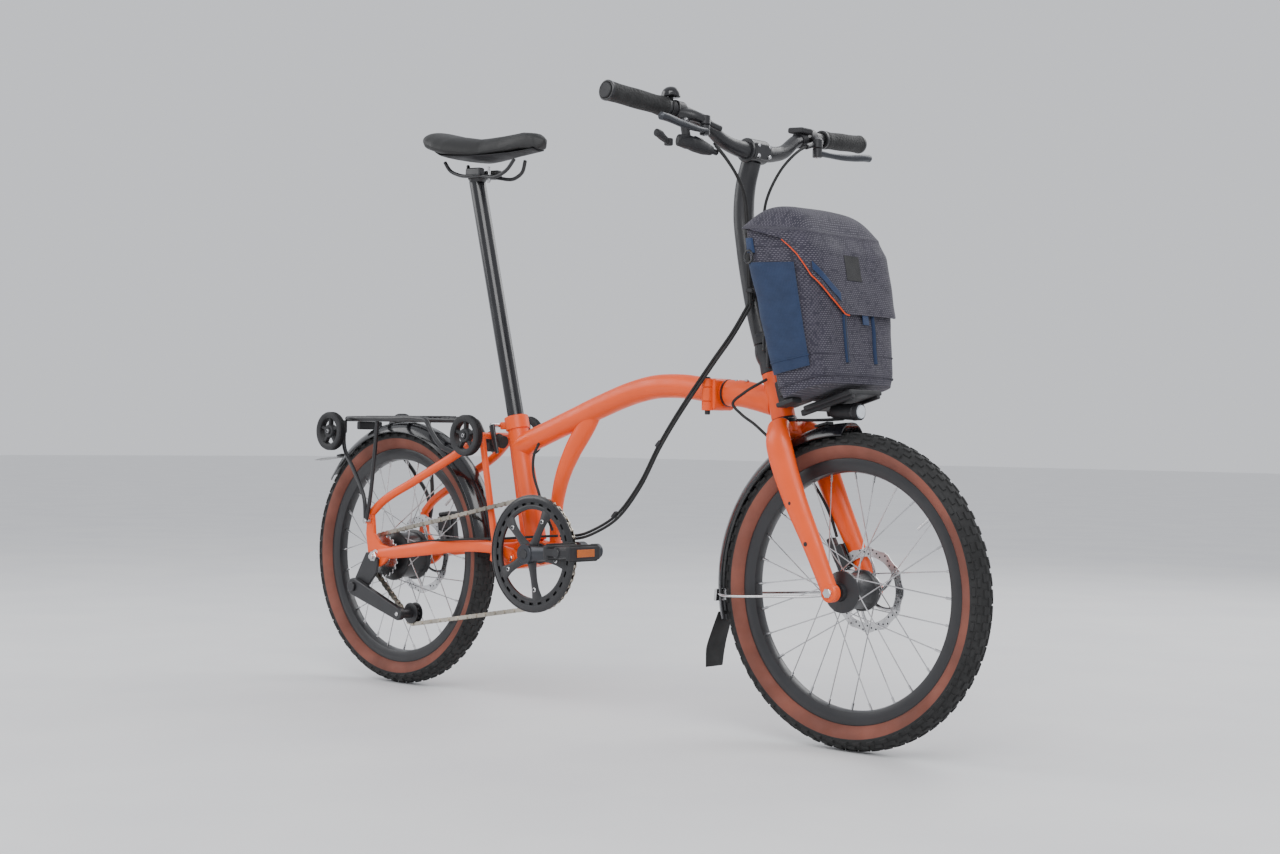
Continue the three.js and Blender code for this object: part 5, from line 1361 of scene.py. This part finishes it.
def makeBagFlap():
    columns = bagForm["columns"]
    edge = np.interp(np.linspace(0, 1, columns, endpoint=False), *bagForm["flapEdge"])[None, :]
    r = np.linspace(0, 1, 64)[:, None]
    t = bagForm["crownEnd"] - (bagForm["crownEnd"] - edge) * r
    w = np.linspace(0, 1, columns, endpoint=False)[None, :] + 0 * t
    flap = bagCloths("bagFlap", w[::-1], t[::-1], 7.0, 2.0, bagCloth, "bag_flap", closed=True,
                     replaced=["bag_flap"], slot="bag_fabric")
    rim = np.linspace(0.775, 0.952, 60)
    line = np.stack([rim, np.interp(rim, *bagForm["flapEdge"]) - 0.007], -1)
    trim = bagTrim("flapTrim", line, 4.6, 1.3, trimCloth, "bag_flap", steps=120)
    band = np.linspace(0.80, 0.94, 60)
    bandEdge = np.interp(band, *bagForm["flapEdge"])
    t = np.linspace(0, 1, 8)[:, None] * 0.055 + bandEdge[None, :] + 0.04
    strap = bagCloths("flapStrap", band[None, 12:50] + 0 * t[:, 12:50], t[:, 12:50], 9.0, 1.6, webCloth,
                      "bag_flap")
    patch = bagPatch("flapPatch", 0.95, 1.016, 0.70, 0.87, 8.0, 0.8, patchCloth, "bag_flap", rows=12,
                     columns=12)
    tab = bagPatch("flapTab", 0.008, 0.034, 0.405, 0.475, 6.0, 1.6, webCloth, "bag_flap", rows=12, columns=8)
    flatArea(flap)


# Flat area of a thin double-skinned piece: half of its surface
def flatArea(piece):
    piece.data.update()
    return sum(face.area for face in piece.data.polygons) / 2


def makeBagDetails():
    pocket = bagPatch("bagPocket", 0.692, 0.80, 0.13, 0.80, 4.2, 3.0, navyCloth, skew=-0.012, rows=60,
                      columns=50)
    hem = bagPatch("pocketHem", 0.690, 0.802, 0.195, 0.203, 5.0, 1.0, navyCloth, rows=5, columns=40)
    for k, (w0, t0, t1) in enumerate(((0.935, 0.14, 0.47), (0.066, 0.14, 0.47))):
        bagTrim(f"bagZip{k}", [(w0, t) for t in np.linspace(t0, t1, 9)], 1.2, 3.8, navyCloth, "bag", steps=50)
        bagTrim(f"zipTeeth{k}", [(w0, t) for t in np.linspace(t0, t1, 9)], 4.3, 0.9, matteBlack, "bag",
                steps=50)
    bagTrim("baseSeam", [(w, 0.055) for w in np.linspace(0, 0.999, 90)], 0.6, 1.3, bagCloth, "bag", steps=200)
    bagTrim("wallSeam", [(w, 0.2) for w in np.linspace(0.803, 1.32, 60)], 0.2, 1.0, bagCloth, "bag",
            steps=120)
    bagTrim("topSeam", [(w, 0.9) for w in np.linspace(0.66, 0.86, 30)], 0.3, 1.0, bagCloth, "bag", steps=60)
    for side, w0 in ((-1, 0.694), (1, 0.306)):
        loop = bagPatch(f"ringWeb{side}", w0 - 0.012, w0 + 0.012, 0.86, 0.95, 3.4, 2.4, webCloth, rows=12,
                        columns=8)
        x, y, z = bagPoint(np.array(w0), np.array(0.85), 5.0)
        points = [(x + 8 * math.cos(a), y, z + 10 * math.sin(a) - 4) for a in np.linspace(0, 2 * np.pi, 20)]
        tube(f"strapRing{side}", points, 1.5, blackPaint, "bag", steps=60, sides=12, reference=(0, 1, 0))


# The stiff frame: a plate behind the rear wall, its hooks and the runners under the base
def makeBagFrame():
    block("bagFrameBack", (980, 0, 655), (8, 132, 196), matteBlack, "bag", turn=(0, -16.5, 0), bevel=3,
          replaced=["bag_frame"])
    block("bagFrameBase", (1060, 0, 557), (96, 86, 9), matteBlack, "bag", turn=(0, -16.5, 0), bevel=3)
    for side in (-1, 1):
        block(f"bagRunner{side}", (1056, side * 34, 551), (104, 8, 10), matteBlack, "bag", turn=(0, -16.5, 0),
              bevel=2)
        block(f"bagFoot{side}", (1018, side * 84, 552), (34, 26, 8), matteBlack, "bag", turn=(0, -16.5, 0),
              bevel=2.5)


print("cables and bag")
makeCables()
makeBagBody()
makeBagFlap()
makeBagDetails()
makeBagFrame()


# Floor, light, camera

def makeStage():
    size = 30.0
    floorMaterial, shader = newMaterial("paleFloor", Base_Color=(0.8, 0.8, 0.8, 1), Roughness=0.6)
    noiseColour(floorMaterial, shader, (0.78, 0.78, 0.79), (0.82, 0.82, 0.82), 3)
    floor = addPiece("floor", [(-size, -size, 0), (size, -size, 0), (size, size, 0), (-size, size, 0)],
                     [(0, 1, 2, 3)], floorMaterial, None)
    world = bpy.data.worlds.new("softStudio")
    world.use_nodes = True
    world.node_tree.nodes["Background"].inputs["Color"].default_value = (0.93, 0.95, 1.0, 1)
    world.node_tree.nodes["Background"].inputs["Strength"].default_value = 0.85
    bpy.context.scene.world = world
    for name, spot, target, power, width in (("keyLight", (2.2, -2.6, 3.0), (0, 0, 0.5), 95, 2.6),
                                             ("fillLight", (-2.8, -1.8, 2.2), (0, 0, 0.5), 45, 2.4),
                                             ("rimLight", (0.4, 3.0, 2.6), (0, 0, 0.6), 55, 2.4)):
        lamp = bpy.data.lights.new(name, "AREA")
        lamp.energy, lamp.size = power, width
        holder = bpy.data.objects.new(name, lamp)
        holder.location = spot
        holder.rotation_euler = (Vector(target) - Vector(spot)).to_track_quat("-Z", "Y").to_euler()
        bpy.context.scene.collection.objects.link(holder)


cameraForm = {"lens": 51.8, "sensor": 36.0, "spot": (2793.2, -2369.0, 493.8),
              "forward": (-0.674991, 0.737802, 0.005908), "upward": (-0.006150, -0.013633, 0.999888)}


def makeCamera():
    lens = bpy.data.cameras.new("camera")
    lens.lens, lens.sensor_width = cameraForm["lens"], cameraForm["sensor"]
    camera = bpy.data.objects.new("camera", lens)
    forward = Vector(cameraForm["forward"]).normalized()
    right = forward.cross(Vector(cameraForm["upward"])).normalized()
    up = right.cross(forward)
    rotation = Matrix((right, up, -forward)).transposed().to_4x4()
    camera.matrix_world = Matrix.Translation(Vector(place([cameraForm["spot"]])[0])) @ rotation
    bpy.context.scene.collection.objects.link(camera)
    bpy.context.scene.camera = camera


print("stage")
makeStage()
makeCamera()
